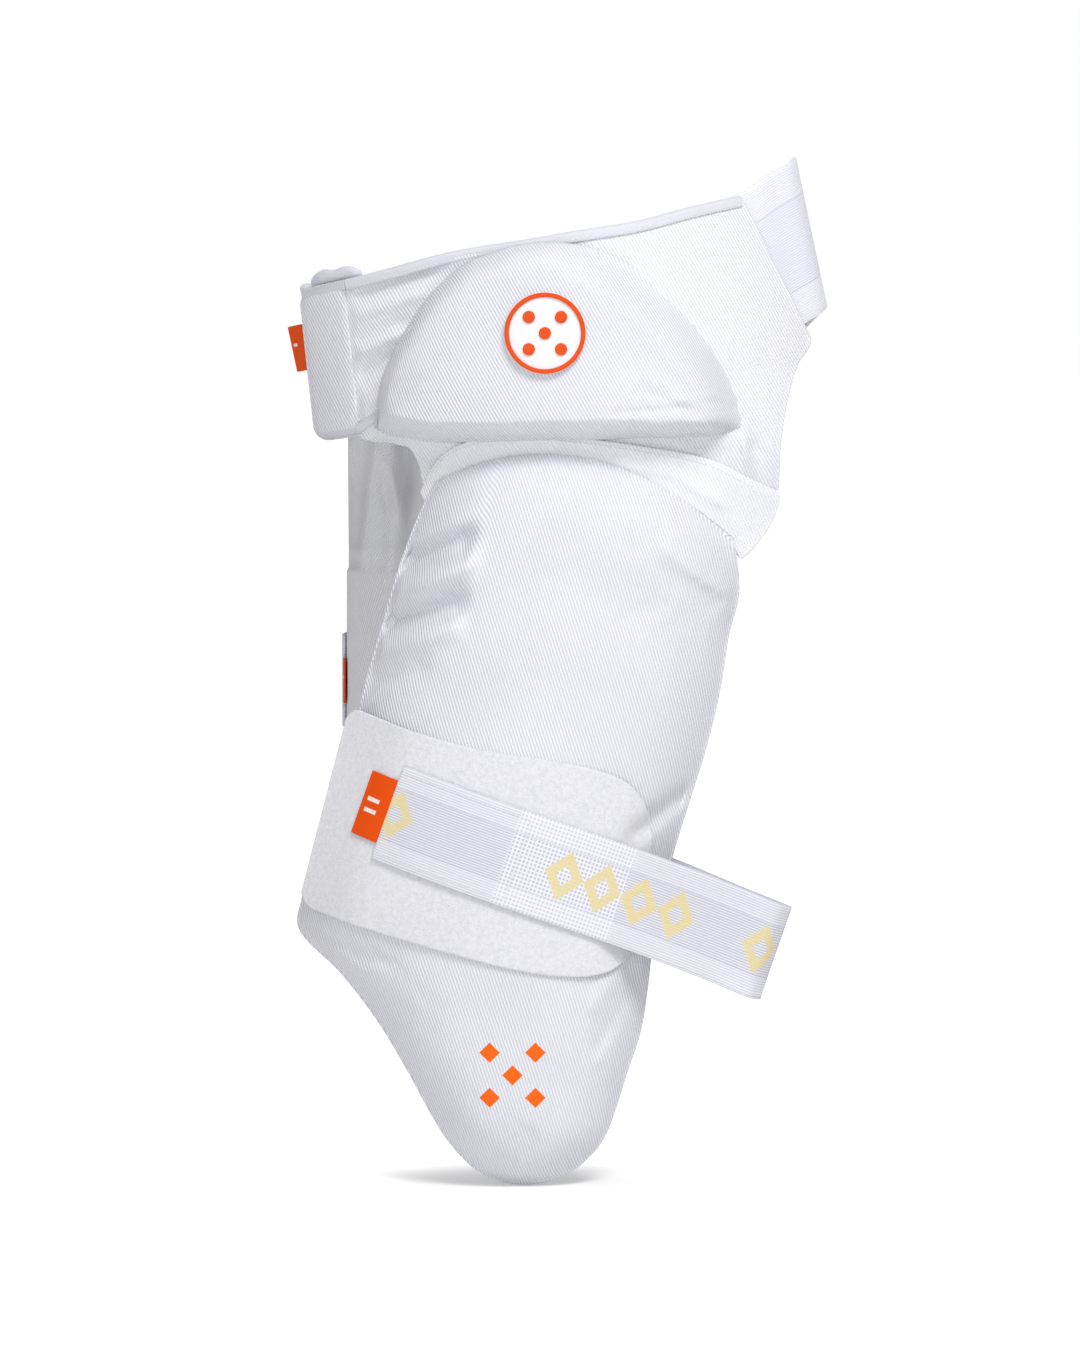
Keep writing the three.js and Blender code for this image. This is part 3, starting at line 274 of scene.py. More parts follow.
def read(rows, name, at):
    """One column of a table at a share, on a smooth curve through its rows."""
    keys, values = rows["at"], rows[name]
    slopes = np.empty_like(values)
    slopes[1:-1] = (values[2:] - values[:-2]) / (keys[2:] - keys[:-2])
    slopes[0] = (values[1] - values[0]) / (keys[1] - keys[0])
    slopes[-1] = (values[-1] - values[-2]) / (keys[-1] - keys[-2])
    at = np.asarray(at, dtype=float)
    i = np.clip(np.searchsorted(keys, at) - 1, 0, len(keys) - 2)
    span = keys[i + 1] - keys[i]
    t = np.clip((at - keys[i]) / span, 0, 1)
    start = values[i] * (1 + 2 * t) * (1 - t) ** 2
    end = values[i + 1] * t * t * (3 - 2 * t)
    bend = slopes[i] * t * (1 - t) ** 2 - slopes[i + 1] * t * t * (1 - t)
    return start + end + bend * span


def lerp(a, b, t):
    return a + (b - a) * t


def smoothstep(low, high, x):
    t = np.clip((x - low) / (high - low), 0, 1)
    return t * t * (3 - 2 * t)


def crowd(share, amount):
    """Spreads shares so that they lie closer together at both ends."""
    return lerp(share, 0.5 - 0.5 * np.cos(np.pi * share), amount)


def relief(folds, u, v, aspect):
    """Height of all folds at a place of a piece, in shares of its fold height."""
    height = np.zeros_like(u * v)
    for x0, y0, x1, y1, spread, rise in folds:
        run_x, run_y = x1 - x0, (y1 - y0) * aspect
        to_x, to_y = u - x0, (v - y0) * aspect
        length = math.hypot(run_x, run_y)
        along = (to_x * run_x + to_y * run_y) / length ** 2
        aside = (to_x * run_y - to_y * run_x) / length
        over = np.maximum(0, np.abs(along - 0.5) - 0.35) * length
        height = height + rise * np.exp(-(aside / spread) ** 2 - (over / spread) ** 2)
    return height


def dome(to_side, to_end, reach):
    """Rise of a padded form from its rim to its full thickness, from the distances to its sides."""
    side = np.clip(1 - to_side / reach, 0, 1)
    end = np.clip(1 - to_end / reach, 0, 1)
    return (1 - side ** 2.4) * (1 - end ** 2.4)


def stack(x, y, z):
    return np.stack(np.broadcast_arrays(x, y, z), axis=-1)


def from_belt(x, y, z):
    return stack(x * math.cos(WAIST_TILT) - z * math.sin(WAIST_TILT), y,
                 x * math.sin(WAIST_TILT) + z * math.cos(WAIST_TILT))


def belt_depth(along):
    reach = np.where(along < 0, WAIST_LEFT, WAIST_RIGHT)
    return -WAIST_DEPTH * np.sqrt(np.maximum(0, 1 - (along / reach) ** 2))


def thigh_depth(x, z):
    down = np.clip((PAD_TOP - z) / PAD_HEIGHT, 0, 1)
    crown = read(PAD_CROWN, "crown", down) * WAIST_DEPTH - PAD_STAND
    middle = read(PAD_CROWN, "middle", down) * PAD_WIDTH - PAD_LEFT
    return (x - middle) ** 2 / (2 * PAD_CURVE) - crown


def front_depth(x, z):
    waist = belt_depth(x * math.cos(WAIST_TILT) + z * math.sin(WAIST_TILT))
    low = BAND_TOP - BAND_HEIGHT
    share = smoothstep(-low + 0.2 * BAND_HEIGHT, -low + BAND_HEIGHT, -z)
    return lerp(waist, thigh_depth(x, z), share)


def on_front(x, z, out):
    return stack(x, front_depth(x, z) - out, z)


def on_belt(x, z, out):
    return from_belt(x, belt_depth(x) - out, z)


def inside_belt(x, z, inward):
    x, z = np.asarray(x, dtype=float), np.asarray(z, dtype=float)
    reach = np.where(x < 0, WAIST_LEFT, WAIST_RIGHT)
    normal_x, normal_y = x / reach ** 2, belt_depth(x) / WAIST_DEPTH ** 2
    length = np.hypot(normal_x, normal_y)
    return from_belt(x - normal_x / length * inward, belt_depth(x) - normal_y / length * inward, z)


def band_seam(v):
    return -lerp(TAB_SEAM_TOP, TAB_SEAM_LOW, v)


def band_end(v):
    return lerp(BAND_END_TOP, BAND_END_LOW, v)


def finish_mesh(name, points, faces, uv, material, nodes):
    """Makes the object of a piece, smooth, with its cloth coordinates in metres as its UV map."""
    mesh = bpy.data.meshes.new(name)
    mesh.from_pydata(points.tolist(), [], faces.tolist() if hasattr(faces, "tolist") else faces)
    mesh.validate()
    layer = mesh.uv_layers.new(name="cloth")
    loops = np.empty(len(mesh.loops), dtype=np.int32)
    mesh.loops.foreach_get("vertex_index", loops)
    layer.data.foreach_set("uv", np.asarray(uv, dtype=np.float32)[loops].ravel())
    mesh.polygons.foreach_set("use_smooth", np.ones(len(mesh.polygons), dtype=bool))
    mesh.materials.append(material)
    piece = bpy.data.objects.new(name, mesh)
    bpy.context.scene.collection.objects.link(piece)
    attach(piece, "root")
    if nodes:
        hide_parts(*nodes)
    return piece


def grid_faces(rows, columns, start, flip):
    index = start + np.arange(rows * columns).reshape(rows, columns)
    quads = np.stack([index[:-1, :-1], index[1:, :-1], index[1:, 1:], index[:-1, 1:]], axis=-1)
    return quads.reshape(-1, 4)[:, ::-1] if flip else quads.reshape(-1, 4)


def border(rows, columns):
    index = np.arange(rows * columns).reshape(rows, columns)
    loop = np.concatenate([index[:-1, 0], index[-1, :-1], index[:0:-1, -1], index[0, :0:-1]])
    inner = index.copy()
    inner[0], inner[-1] = inner[1], inner[-2]
    inner[:, 0], inner[:, -1] = inner[:, 1], inner[:, -2]
    return loop, inner.ravel()[loop]


GRIDS = {}


def panel(name, across, down, place, material, nodes=(), round_out=None, cloth=None, shift=None):
    """A closed sheet or pad. place(u, v, side) gives its points; its rim is rounded through three rows."""
    u, v = np.meshgrid(across, down)
    rows, columns = u.shape
    front = place(u, v, np.ones_like(u)).reshape(-1, 3)
    back = place(u, v, np.zeros_like(u)).reshape(-1, 3)
    if shift is not None:
        front = front + shift[0].reshape(-1, 3)
        back = back + shift[1].reshape(-1, 3)
    GRIDS[name] = (across, down, front.reshape(rows, columns, 3))
    middle = (front + back) / 2
    loop, inner = border(rows, columns)
    thick = np.linalg.norm(front[loop] - back[loop], axis=1, keepdims=True)
    tangent = np.roll(middle[loop], -2, axis=0) - np.roll(middle[loop], 2, axis=0)
    outward = np.cross(tangent, front[loop] - back[loop])
    outward *= np.sign(np.sum(outward * (middle[loop] - middle[inner])))
    outward /= np.maximum(np.linalg.norm(outward, axis=1, keepdims=True), 1e-12)
    reach = thick * 0.45 if round_out is None else round_out
    points = [front, back]
    for side in (0.85, 0.5, 0.15):
        bulge = math.sqrt(1 - (2 * side - 1) ** 2)
        points.append(lerp(back[loop], front[loop], side) + outward * reach * bulge)
    count = rows * columns
    rim = [loop] + [2 * count + k * len(loop) + np.arange(len(loop)) for k in range(3)] + [loop + count]
    faces = [grid_faces(rows, columns, 0, False), grid_faces(rows, columns, count, True)]
    for near, far in zip(rim[:-1], rim[1:]):
        faces.append(np.stack([near, far, np.roll(far, -1), np.roll(near, -1)], axis=-1))
    flat = (stack(u, v, 0)[..., :2] if cloth is None else cloth(u, v)).reshape(-1, 2)
    away = flat[loop] - flat[inner]
    away /= np.maximum(np.linalg.norm(away, axis=1, keepdims=True), 1e-9)
    around = [flat[loop] + away * thick * share for share in (0.25, 0.6, 0.95)]
    uv = np.concatenate([flat, flat, *around])
    return finish_mesh(name, np.concatenate(points), np.concatenate(faces), uv, material, nodes)


def spread(count, ease=0.0):
    return crowd(np.linspace(0, 1, count + 1), ease)


def laid_cloth(place):
    """Cloth coordinates of a piece's front, in metres: lengths over its surface from its middle."""
    def coordinates(u, v):
        front = place(u, v, np.ones_like(u))
        row, column = front.shape[0] // 2, front.shape[1] // 2
        across = np.cumsum(np.linalg.norm(np.diff(front, axis=1, prepend=front[:, :1]), axis=-1), axis=1)
        down = np.cumsum(np.linalg.norm(np.diff(front, axis=0, prepend=front[:1]), axis=-1), axis=0)
        x = across - across[:, column:column + 1] + front[:, column:column + 1, 0]
        y = down[row:row + 1] - down + front[row:row + 1, :, 2]
        return lerp(front[..., [0, 2]], np.stack([x, y], axis=-1), CLOTH_LAY)
    return coordinates


def swell(place, across, down, fine_across, fine_down, pressure, cap):
    """Blows up a coarse copy of a pad as cloth under pressure and gives the travel of its two faces."""
    u, v = np.meshgrid(across, down)
    rows, columns = u.shape
    count = rows * columns
    front = place(u, v, np.ones_like(u)).reshape(-1, 3)
    back = place(u, v, np.zeros_like(u)).reshape(-1, 3)
    loop, _ = border(rows, columns)
    faces = [grid_faces(rows, columns, 0, False), grid_faces(rows, columns, count, True),
             np.stack([loop, loop + count, np.roll(loop, -1) + count, np.roll(loop, -1)], axis=-1)]
    start = np.concatenate([front, back])
    mesh = bpy.data.meshes.new("swelling")
    mesh.from_pydata(start.tolist(), [], np.concatenate(faces).tolist())
    cushion = bpy.data.objects.new("swelling", mesh)
    bpy.context.scene.collection.objects.link(cushion)
    rim = cushion.vertex_groups.new(name="rim")
    rim.add([int(i) for i in np.concatenate([loop, loop + count])], 1.0, "REPLACE")
    cloth = cushion.modifiers.new("cloth", "CLOTH").settings
    cloth.quality = 6
    cloth.mass = 0.3
    cloth.tension_stiffness = 12
    cloth.compression_stiffness = 12
    cloth.bending_stiffness = 0.6
    cloth.use_pressure = True
    cloth.uniform_pressure_force = pressure
    cloth.effector_weights.gravity = 0
    cloth.vertex_group_mass = "rim"
    scene = bpy.context.scene
    for step in range(1, 21):
        scene.frame_set(step)
    found = cushion.evaluated_get(bpy.context.evaluated_depsgraph_get())
    moved = np.empty(len(found.data.vertices) * 3)
    found.data.vertices.foreach_get("co", moved)
    bpy.data.objects.remove(cushion, do_unlink=True)
    bpy.data.meshes.remove(mesh)
    scene.frame_set(1)
    travel = moved.reshape(-1, 3) - start
    far = np.linalg.norm(travel, axis=1, keepdims=True)
    travel *= np.minimum(1, cap / np.maximum(far, 1e-9))
    return tuple(resample(part.reshape(rows, columns, 3), across, down, fine_across, fine_down)
                 for part in (travel[:count], travel[count:]))


def resample(values, across, down, fine_across, fine_down):
    """Carries values from a coarse grid to a fine one."""
    sideways = np.stack([[np.interp(fine_across, across, row[:, k]) for k in range(3)] for row in values])
    sideways = sideways.transpose(0, 2, 1)
    lengthways = np.empty((len(fine_down), len(fine_across), 3))
    for i in range(len(fine_across)):
        for k in range(3):
            lengthways[:, i, k] = np.interp(fine_down, down, sideways[:, i, k])
    return lengthways


class Value:
    """A number that changes over a surface, as the socket of a shader node."""

    def __init__(self, finish, socket):
        self.finish = finish
        self.socket = socket

    def math(self, operation, *others):
        values = [other.socket if isinstance(other, Value) else other for other in others]
        return self.finish.node("ShaderNodeMath", {"operation": operation}, dict(enumerate(values)))

    def __add__(self, other):
        return self.math("ADD", self, other)

    def __sub__(self, other):
        return self.math("SUBTRACT", self, other)

    def __rsub__(self, other):
        return self.math("SUBTRACT", other, self)

    def __mul__(self, other):
        return self.math("MULTIPLY", self, other)

    def __abs__(self):
        return self.math("ABSOLUTE", self)

    def sin(self):
        return self.math("SINE", self)

    def power(self, exponent):
        return self.math("POWER", self, exponent)

    def least(self, other):
        return self.math("MINIMUM", self, other)

    def most(self, other):
        return self.math("MAXIMUM", self, other)

    def below(self, limit, soft):
        """1 where the value lies below the limit, 0 above it, with a soft step."""
        return self.finish.ramp(self, limit - soft, limit + soft, 1, 0)


class Finish:
    """A material under construction: a principled shader and the nodes that feed it."""

    def __init__(self, name, **fixed):
        self.material = bpy.data.materials.new(name)
        self.material.use_nodes = True
        self.tree = self.material.node_tree
        self.shader = self.tree.nodes["Principled BSDF"]
        for socket, value in fixed.items():
            self.shader.inputs[socket.replace("_", " ")].default_value = value

    def node(self, kind, settings=None, values=None, output=0):
        made = self.tree.nodes.new(kind)
        for name, value in (settings or {}).items():
            setattr(made, name, value)
        for name, value in (values or {}).items():
            if isinstance(value, Value):
                value = value.socket
            if isinstance(value, bpy.types.NodeSocket):
                self.tree.links.new(value, made.inputs[name])
            else:
                made.inputs[name].default_value = value
        return Value(self, made.outputs[output])

    def ramp(self, value, low, high, at_low, at_high):
        return self.node("ShaderNodeMapRange", {"interpolation_type": "SMOOTHSTEP"},
                         {0: value, 1: low, 2: high, 3: at_low, 4: at_high})

    def parts(self, vector):
        """The three parts of a vector."""
        first = self.node("ShaderNodeSeparateXYZ", None, {0: vector})
        return [Value(self, part) for part in first.socket.node.outputs]

    def cloth_place(self):
        """The two cloth coordinates of a surface, in metres."""
        return self.parts(self.node("ShaderNodeUVMap", {"uv_map": "cloth"}))[:2]

    def place(self):
        """Place in the part's own frame, in metres."""
        return self.parts(self.node("ShaderNodeTexCoord", output=3))

    def facing_front(self):
        """1 where a surface faces the front of the part, 0 elsewhere."""
        return self.parts(self.node("ShaderNodeTexCoord", output=1))[1].below(-0.1, 0.05)

    def noise(self, scale, detail=2.0, rough=0.5):
        place = self.node("ShaderNodeTexCoord", output=3)
        return self.node("ShaderNodeTexNoise", None,
                         {"Vector": place, "Scale": scale, "Detail": detail, "Roughness": rough})

    def mix(self, factor, first, second):
        first, second = (end if isinstance(end, Value) else (*end, 1) for end in (first, second))
        return self.node("ShaderNodeMix", {"data_type": "RGBA"}, {0: factor, 6: first, 7: second}, output=2)

    def feed(self, socket, value):
        self.tree.links.new(value.socket, self.shader.inputs[socket])

    def bump(self, height, depth):
        raised = self.node("ShaderNodeBump", None, {"Strength": 1.0, "Distance": depth, "Height": height})
        self.feed("Normal", raised)


def linear(*srgb):
    """A colour given as display values from 0 to 255, in the linear form that a shader takes."""
    return tuple((c / 255 / 12.92) if c <= 10 else ((c / 255 + 0.055) / 1.055) ** 2.4 for c in srgb)


WHITE_LIGHT = linear(244, 244, 249)
WHITE_DEEP = linear(204, 204, 214)


def wave(value, pitch):
    """A wave from 0 to 1 across the surface with the given pitch in metres."""
    return (value * (2 * math.pi / pitch)).sin() * 0.5 + 0.5


def lozenge(s, t, middle_s, middle_t, half_s, half_t):
    """How far inside a lozenge a place lies: below 1 inside it."""
    return abs(s - middle_s) * (1 / half_s) + abs(t - middle_t) * (1 / half_t)


def brushed_loop():
    """Loop cloth of the patch: short brushed fibres in soft clumps."""
    finish = Finish("brushed_loop", Roughness=0.95, Sheen_Weight=0.6, Sheen_Roughness=0.6)
    clumps = finish.noise(420, 5, 0.7)
    fibres = finish.noise(1700, 3, 0.7)
    tuft = clumps * 0.5 + fibres * 0.5
    shade = finish.ramp(tuft, 0.32, 0.64, 0, 1)
    finish.feed("Base Color", finish.mix(shade, linear(210, 210, 218), linear(233, 233, 238)))
    finish.bump(tuft, 0.7 * MM)
    return finish.material


def binding_cloth():
    finish = Finish("binding_cloth", Roughness=0.8, Sheen_Weight=0.2, Sheen_Roughness=0.5)
    s, t = finish.cloth_place()
    weave = wave(s, 0.8 * MM) * wave(t, 0.8 * MM)
    shade = weave + finish.noise(60, 3) * 0.3
    finish.feed("Base Color", finish.mix(shade, linear(204, 204, 214), linear(232, 232, 240)))
    finish.bump(weave, 0.12 * MM)
    return finish.material


def thread_finish():
    finish = Finish("thread", Roughness=0.6)
    twist = finish.noise(2500, 1)
    finish.feed("Base Color", finish.mix(twist, linear(205, 205, 216), linear(240, 240, 246)))
    return finish.material


def rubber(name, dark, light):
    finish = Finish(name, Roughness=0.45, Specular_IOR_Level=0.2)
    grain = finish.noise(700, 3)
    finish.feed("Base Color", finish.mix(grain, dark, light))
    finish.feed("Roughness", grain * 0.2 + 0.32)
    finish.bump(grain, 0.04 * MM)
    return finish.material


def label_satin(name, bars):
    """Orange satin label with thin white bars: each a place, a half width, a start and a stop, in mm."""
    finish = Finish(name, Roughness=0.6, Specular_IOR_Level=0.15)
    s, t = finish.cloth_place()
    weave = wave(s + t, 0.7 * MM)
    colour = finish.mix(weave, linear(234, 72, 0), linear(250, 92, 4))
    for place, half, start, stop in bars:
        inside = abs(s - (start + stop) / 2 * MM).below((stop - start) / 2 * MM, 0.12 * MM)
        mask = abs(t - place * MM).below(half * MM, 0.12 * MM) * inside
        colour = finish.mix(mask, colour, linear(250, 240, 234))
    finish.feed("Base Color", colour)
    finish.bump(weave, 0.1 * MM)
    return finish.material


def stitches(name, line, normals):
    """A row of thread stitches along a line of points that lie on a piece."""
    line, normals = np.asarray(line), np.asarray(normals)
    steps = np.linalg.norm(np.diff(line, axis=0), axis=1)
    run = np.concatenate([[0], np.cumsum(steps)])
    count = max(2, int(run[-1] / STITCH_PITCH))
    centres = (np.arange(count) + 0.5) * run[-1] / count
    points, faces = [], []
    profile = ((-0.5, 0.35), (-0.3, 0.9), (0, 1.0), (0.3, 0.9), (0.5, 0.35))
    for centre in centres:
        def at(values, s):
            return np.array([np.interp(s, run, values[:, k]) for k in range(3)])
        along = at(line, centre + STITCH_LENGTH / 2) - at(line, centre - STITCH_LENGTH / 2)
        along /= max(np.linalg.norm(along), 1e-9)
        normal = at(normals, centre)
        normal /= max(np.linalg.norm(normal), 1e-9)
        side = np.cross(along, normal)
        middle = at(line, centre)
        first = len(points)
        for share, size in profile:
            lift = normal * THREAD * (0.35 - abs(share) * 0.7)
            for k in range(6):
                turn = k * math.pi / 3
                ring = (side * math.cos(turn) + normal * math.sin(turn)) * THREAD * size * 0.5
                points.append(middle + along * share * STITCH_LENGTH + ring + lift)
        for row in range(len(profile) - 1):
            for k in range(6):
                a, b = first + row * 6 + k, first + row * 6 + (k + 1) % 6
                faces.append((a, b, b + 6, a + 6))
        faces.append(tuple(first + k for k in range(5, -1, -1)))
        last = first + (len(profile) - 1) * 6
        faces.append(tuple(last + k for k in range(6)))
    points = np.array(points)
    return finish_mesh(name, points, faces, points[:, [0, 2]], thread_white, ())


def surface_line(piece, u, v):
    """Points and outward directions along a line over a piece's front, in shares across and down."""
    across, down, front = GRIDS[piece]
    u, v = np.broadcast_arrays(np.asarray(u, dtype=float), np.asarray(v, dtype=float))
    normals = np.cross(np.gradient(front, axis=0), np.gradient(front, axis=1))
    normals /= np.maximum(np.linalg.norm(normals, axis=-1, keepdims=True), 1e-15)
    column = np.interp(u, across, np.arange(len(across)))
    row = np.interp(v, down, np.arange(len(down)))
    i = np.minimum(row.astype(int), len(down) - 2)
    k = np.minimum(column.astype(int), len(across) - 2)
    s, t = (row - i)[:, None], (column - k)[:, None]

    def between(values):
        upper = lerp(values[i, k], values[i, k + 1], t)
        lower = lerp(values[i + 1, k], values[i + 1, k + 1], t)
        return lerp(upper, lower, s)
    return between(front), between(normals)


# Folds of the band between the tab and the hip pad: ends, spread and height, in millimetres of the picture
BAND_FOLDS = (
    (-112, 0, -62, 15, 4.5, -3.2), (-112, -12, -72, 2, 3.6, 2.4), (-112, -26, -80, -12, 3.2, -2.2),
    (-112, -32, -84, -19, 3, 3), (-112, -46, -88, -32, 4.2, -4), (-112, -66, -90, -46, 3.6, 3),
    (-70, 17, -40, 22, 4, 1.4), (84, 2, 106, -20, 6, 1))

# Folds of the harness cloth, in the same way; the lower edge of the hip pad's cover shares them
CREASES = (
    (-62, -78, 10, -72, 3.2, -1.6), (-20, -80, 30, -78, 2.6, 1.3), (-58, -70, -10, -69, 2.6, 1.1),
    (-66, -84, -20, -77, 3, 1.2), (-80, -74, -64, -90, 3.5, -1.6), (-90, -70, -72, -100, 3, 1.2),
    (24, -70, 45, -82, 3.5, -2), (36, -66, 58, -84, 2.6, -1.6), (44, -66, 80, -86, 3, 2.6),
    (66, -72, 90, -97, 6.5, -4.5), (95, -70, 99, -97, 2.4, 3.6), (101, -76, 110, -104, 4, -3))


def creases(folds, x, z):
    """Height of folds given by their ends in millimetres of the picture."""
    height = np.zeros_like(x * z)
    for x0, z0, x1, z1, width, rise in folds:
        run_x, run_z = (x1 - x0) * MM, (z1 - z0) * MM
        length = math.hypot(run_x, run_z)
        to_x, to_z = x - x0 * MM, z - z0 * MM
        along = (to_x * run_x + to_z * run_z) / length ** 2
        aside = (to_x * run_z - to_z * run_x) / length
        over = np.maximum(0, np.abs(along - 0.5) - 0.3) * length
        height = height + rise * MM * np.exp(-(aside / (width * MM)) ** 2 - (over / (2 * width * MM)) ** 2)
    return height


def top_wave(x):
    """How far the band's top edge bulges over the hip pad and hollows beside it."""
    return 2.6 * MM * np.exp(-((x / MM + 52) / 36) ** 2) - 1.8 * MM * np.exp(-((x / MM - 46) / 25) ** 2)


def below_hip(x, z):
    """0 behind the hip pad, 1 below its lower edge and beside its right end."""
    u = np.clip((x + HIP_LEFT) / HIP_WIDTH, 0, 1)
    low = HIP_TOP - read(HIP_COLUMNS, "bottom", u) * HIP_HEIGHT - hip_skirt(u)
    right = HIP_WIDTH - HIP_LEFT
    return np.maximum(smoothstep(-3 * MM, 7 * MM, low - z), smoothstep(right - 8 * MM, right + 3 * MM, x))


def harness_point(u, w, side):
    """Band and harness cloth as one sheet: w runs down the band and then down the harness."""
    down = np.clip(w / BAND_SHARE, 0, 1)
    x = lerp(band_seam(down) + GAP, band_end(down), u)
    z = lerp(BAND_TOP - BINDING_WALL - GAP + top_wave(x), BAND_TOP - BAND_HEIGHT, down)
    band = on_belt(x, z, 0)
    fold = creases(BAND_FOLDS, band[..., 0], band[..., 2]) * smoothstep(0, 0.02, u)
    sewn_in = lerp(0.1, 1, smoothstep(0, 0.012, u))
    band = on_belt(x, z, (side - 0.5) * BAND_WALL * sewn_in + fold)
    v = np.clip((w - BAND_SHARE) / (1 - BAND_SHARE), 0, 1)
    left = HARNESS_RIGHT - read(HARNESS_ROWS, "left", v) * HARNESS_WIDTH
    right = HARNESS_RIGHT - read(HARNESS_ROWS, "right", v) * HARNESS_WIDTH
    low = BAND_TOP - BAND_HEIGHT
    low_x = from_belt(lerp(band_seam(1) + GAP, band_end(1), u), 0, low)[..., 0]
    x = lerp(low_x, lerp(left, right, u), smoothstep(0, 0.2, v))
    start = (low + x * math.sin(WAIST_TILT)) / math.cos(WAIST_TILT)
    drop = lerp(read(HARNESS_ROWS, "left_drop", v), read(HARNESS_ROWS, "right_drop", v), u)
    bow = read(HARNESS_ROWS, "bow", v) * (1 - (2 * u - 1) ** 2)
    z = start - (drop - bow) * HIP_HEIGHT
    free = np.clip(np.minimum(v - 0.05, 0.8 - v) * 6, 0, 1)
    fold = creases(CREASES, x, z) * free * below_hip(x, z)
    wall = lerp(BAND_WALL, CLOTH_WALL, smoothstep(0, 0.2, v))
    cloth = on_front(x, z, (side - 0.5) * wall + fold)
    return np.where((w < BAND_SHARE)[..., None], band, cloth)


def tab_edge(v):
    to_end = np.minimum(v, 1 - v) * BAND_HEIGHT
    curve = TAB_CORNER - np.sqrt(np.maximum(TAB_CORNER ** 2 - np.maximum(TAB_CORNER - to_end, 0) ** 2, 0))
    return band_seam(v) - TAB_WIDTH + np.where(to_end > TAB_CORNER, 0, curve)


def tab_point(u, v, side):
    x = lerp(tab_edge(v), band_seam(v) - GAP, u)
    to_side = np.minimum(u, 1 - u) * TAB_WIDTH
    to_end = np.minimum(v, 1 - v) * BAND_HEIGHT
    sunk = (1 - dome(to_side, to_end, 4 * MM)) * TAB_SOFT_EDGE
    half = (side - 0.5) * TAB_WALL
    return on_belt(x, BAND_TOP - v * BAND_HEIGHT, half - np.sign(half) * sunk)


def folded(edge, wall, width):
    """Binding folded round an edge: v runs from its rear rim over the edge to its front rim."""
    radius = wall / 2 + GAP + BINDING_WALL / 2
    flat = width - radius
    run = 2 * flat + math.pi * radius

    def place(u, v, side):
        along = v * run
        turn = np.clip((along - flat) / radius, 0, math.pi)
        inward = np.where(along < flat, radius + flat - along, radius - radius * np.sin(turn))
        inward = np.where(along > flat + math.pi * radius, radius + along - flat - math.pi * radius, inward)
        out = -radius * np.cos(turn)
        thick = (side - 0.5) * BINDING_WALL
        return edge(u, inward - np.sin(turn) * thick, out - np.cos(turn) * thick)
    return place


def top_binding_point(u, v, side):
    def edge(u, inward, out):
        x = lerp(band_seam(0) + GAP, band_end(0), u)
        return on_belt(x, BAND_TOP + top_wave(x) - inward, out)
    return folded(edge, BAND_WALL, BINDING_WIDTH)(u, v, side)


def lower_binding_point(u, v, side):
    low = BAND_TOP - BAND_HEIGHT
    end = (low * math.sin(WAIST_TILT) - HIP_LEFT + 3 * BINDING_WALL) / math.cos(WAIST_TILT)
    x = lerp(band_seam(1) - 2 * GAP, end, u)
    z = low + (1 - v) * BINDING_WIDTH + u * BINDING_WIDTH
    place = from_belt(x, 0, z)
    over = np.maximum(0, creases(BAND_FOLDS, place[..., 0], place[..., 2]))
    crown = 2 * BINDING_WALL * np.sqrt(np.maximum(0, 1 - (2 * v - 1) ** 2))
    return on_belt(x, z, over + BAND_WALL / 2 + GAP + side * np.maximum(crown, 0.2 * BINDING_WALL))


def belt_label_point(u, v, side):
    z = BAND_TOP - BELT_LABEL_DROP + (0.5 - v) * BELT_LABEL_HEIGHT
    x = tab_edge(np.full_like(u, 0.5)) + u * BELT_LABEL_WIDTH - BELT_LABEL_OUT
    return on_belt(x, z, -TAB_WALL / 2 - GAP - (1 - side) * LABEL_WALL)


class Curve:
    """A smooth curve through points, with its rows kept for reading at any share."""

    def __init__(self, points):
        self.points = np.array(points, dtype=float)

    def at(self, share):
        points = self.points
        count = len(points)
        place = np.clip(np.asarray(share, dtype=float), 0, 1) * (count - 1)
        i = np.minimum(place.astype(int), count - 2)
        weight = (place - i)[..., None]
        one, two = points[i], points[i + 1]
        before = np.where((i > 0)[..., None], points[np.maximum(i - 1, 0)], 2 * points[0] - points[1])
        after = np.where((i < count - 2)[..., None], points[np.minimum(i + 2, count - 1)],
                         2 * points[-1] - points[-2])
        d0, d1, d2 = (np.linalg.norm(b - a, axis=-1, keepdims=True) ** 0.5
                      for a, b in ((before, one), (one, two), (two, after)))
        t1 = ((one - before) / d0 - (two - before) / (d0 + d1) + (two - one) / d1) * d1
        t2 = ((two - one) / d1 - (after - one) / (d1 + d2) + (after - two) / d2) * d1
        c2 = -3 * one + 3 * two - 2 * t1 - t2
        c3 = 2 * one - 2 * two + t1 + t2
        return one + t1 * weight + c2 * weight ** 2 + c3 * weight ** 3

    def along(self, share):
        share = np.asarray(share, dtype=float)
        step = self.at(share + 1e-4) - self.at(share - 1e-4)
        return step / np.maximum(np.linalg.norm(step, axis=-1, keepdims=True), 1e-12)


def webbing(thread, across, wall):
    """A flat band whose threads, the curves at each share of its width, are given by thread(v)."""
    curves = {}

    def place(u, v, side):
        points = np.empty(u.shape + (3,))
        for value in np.unique(v):
            curve = curves.setdefault(value, Curve(thread(value)))
            here = v == value
            out = np.cross(curve.along(u[here]), across)
            out /= np.linalg.norm(out, axis=-1, keepdims=True)
            points[here] = curve.at(u[here]) + out * ((side[here] - 0.5) * wall)[..., None]
        return points
    return place


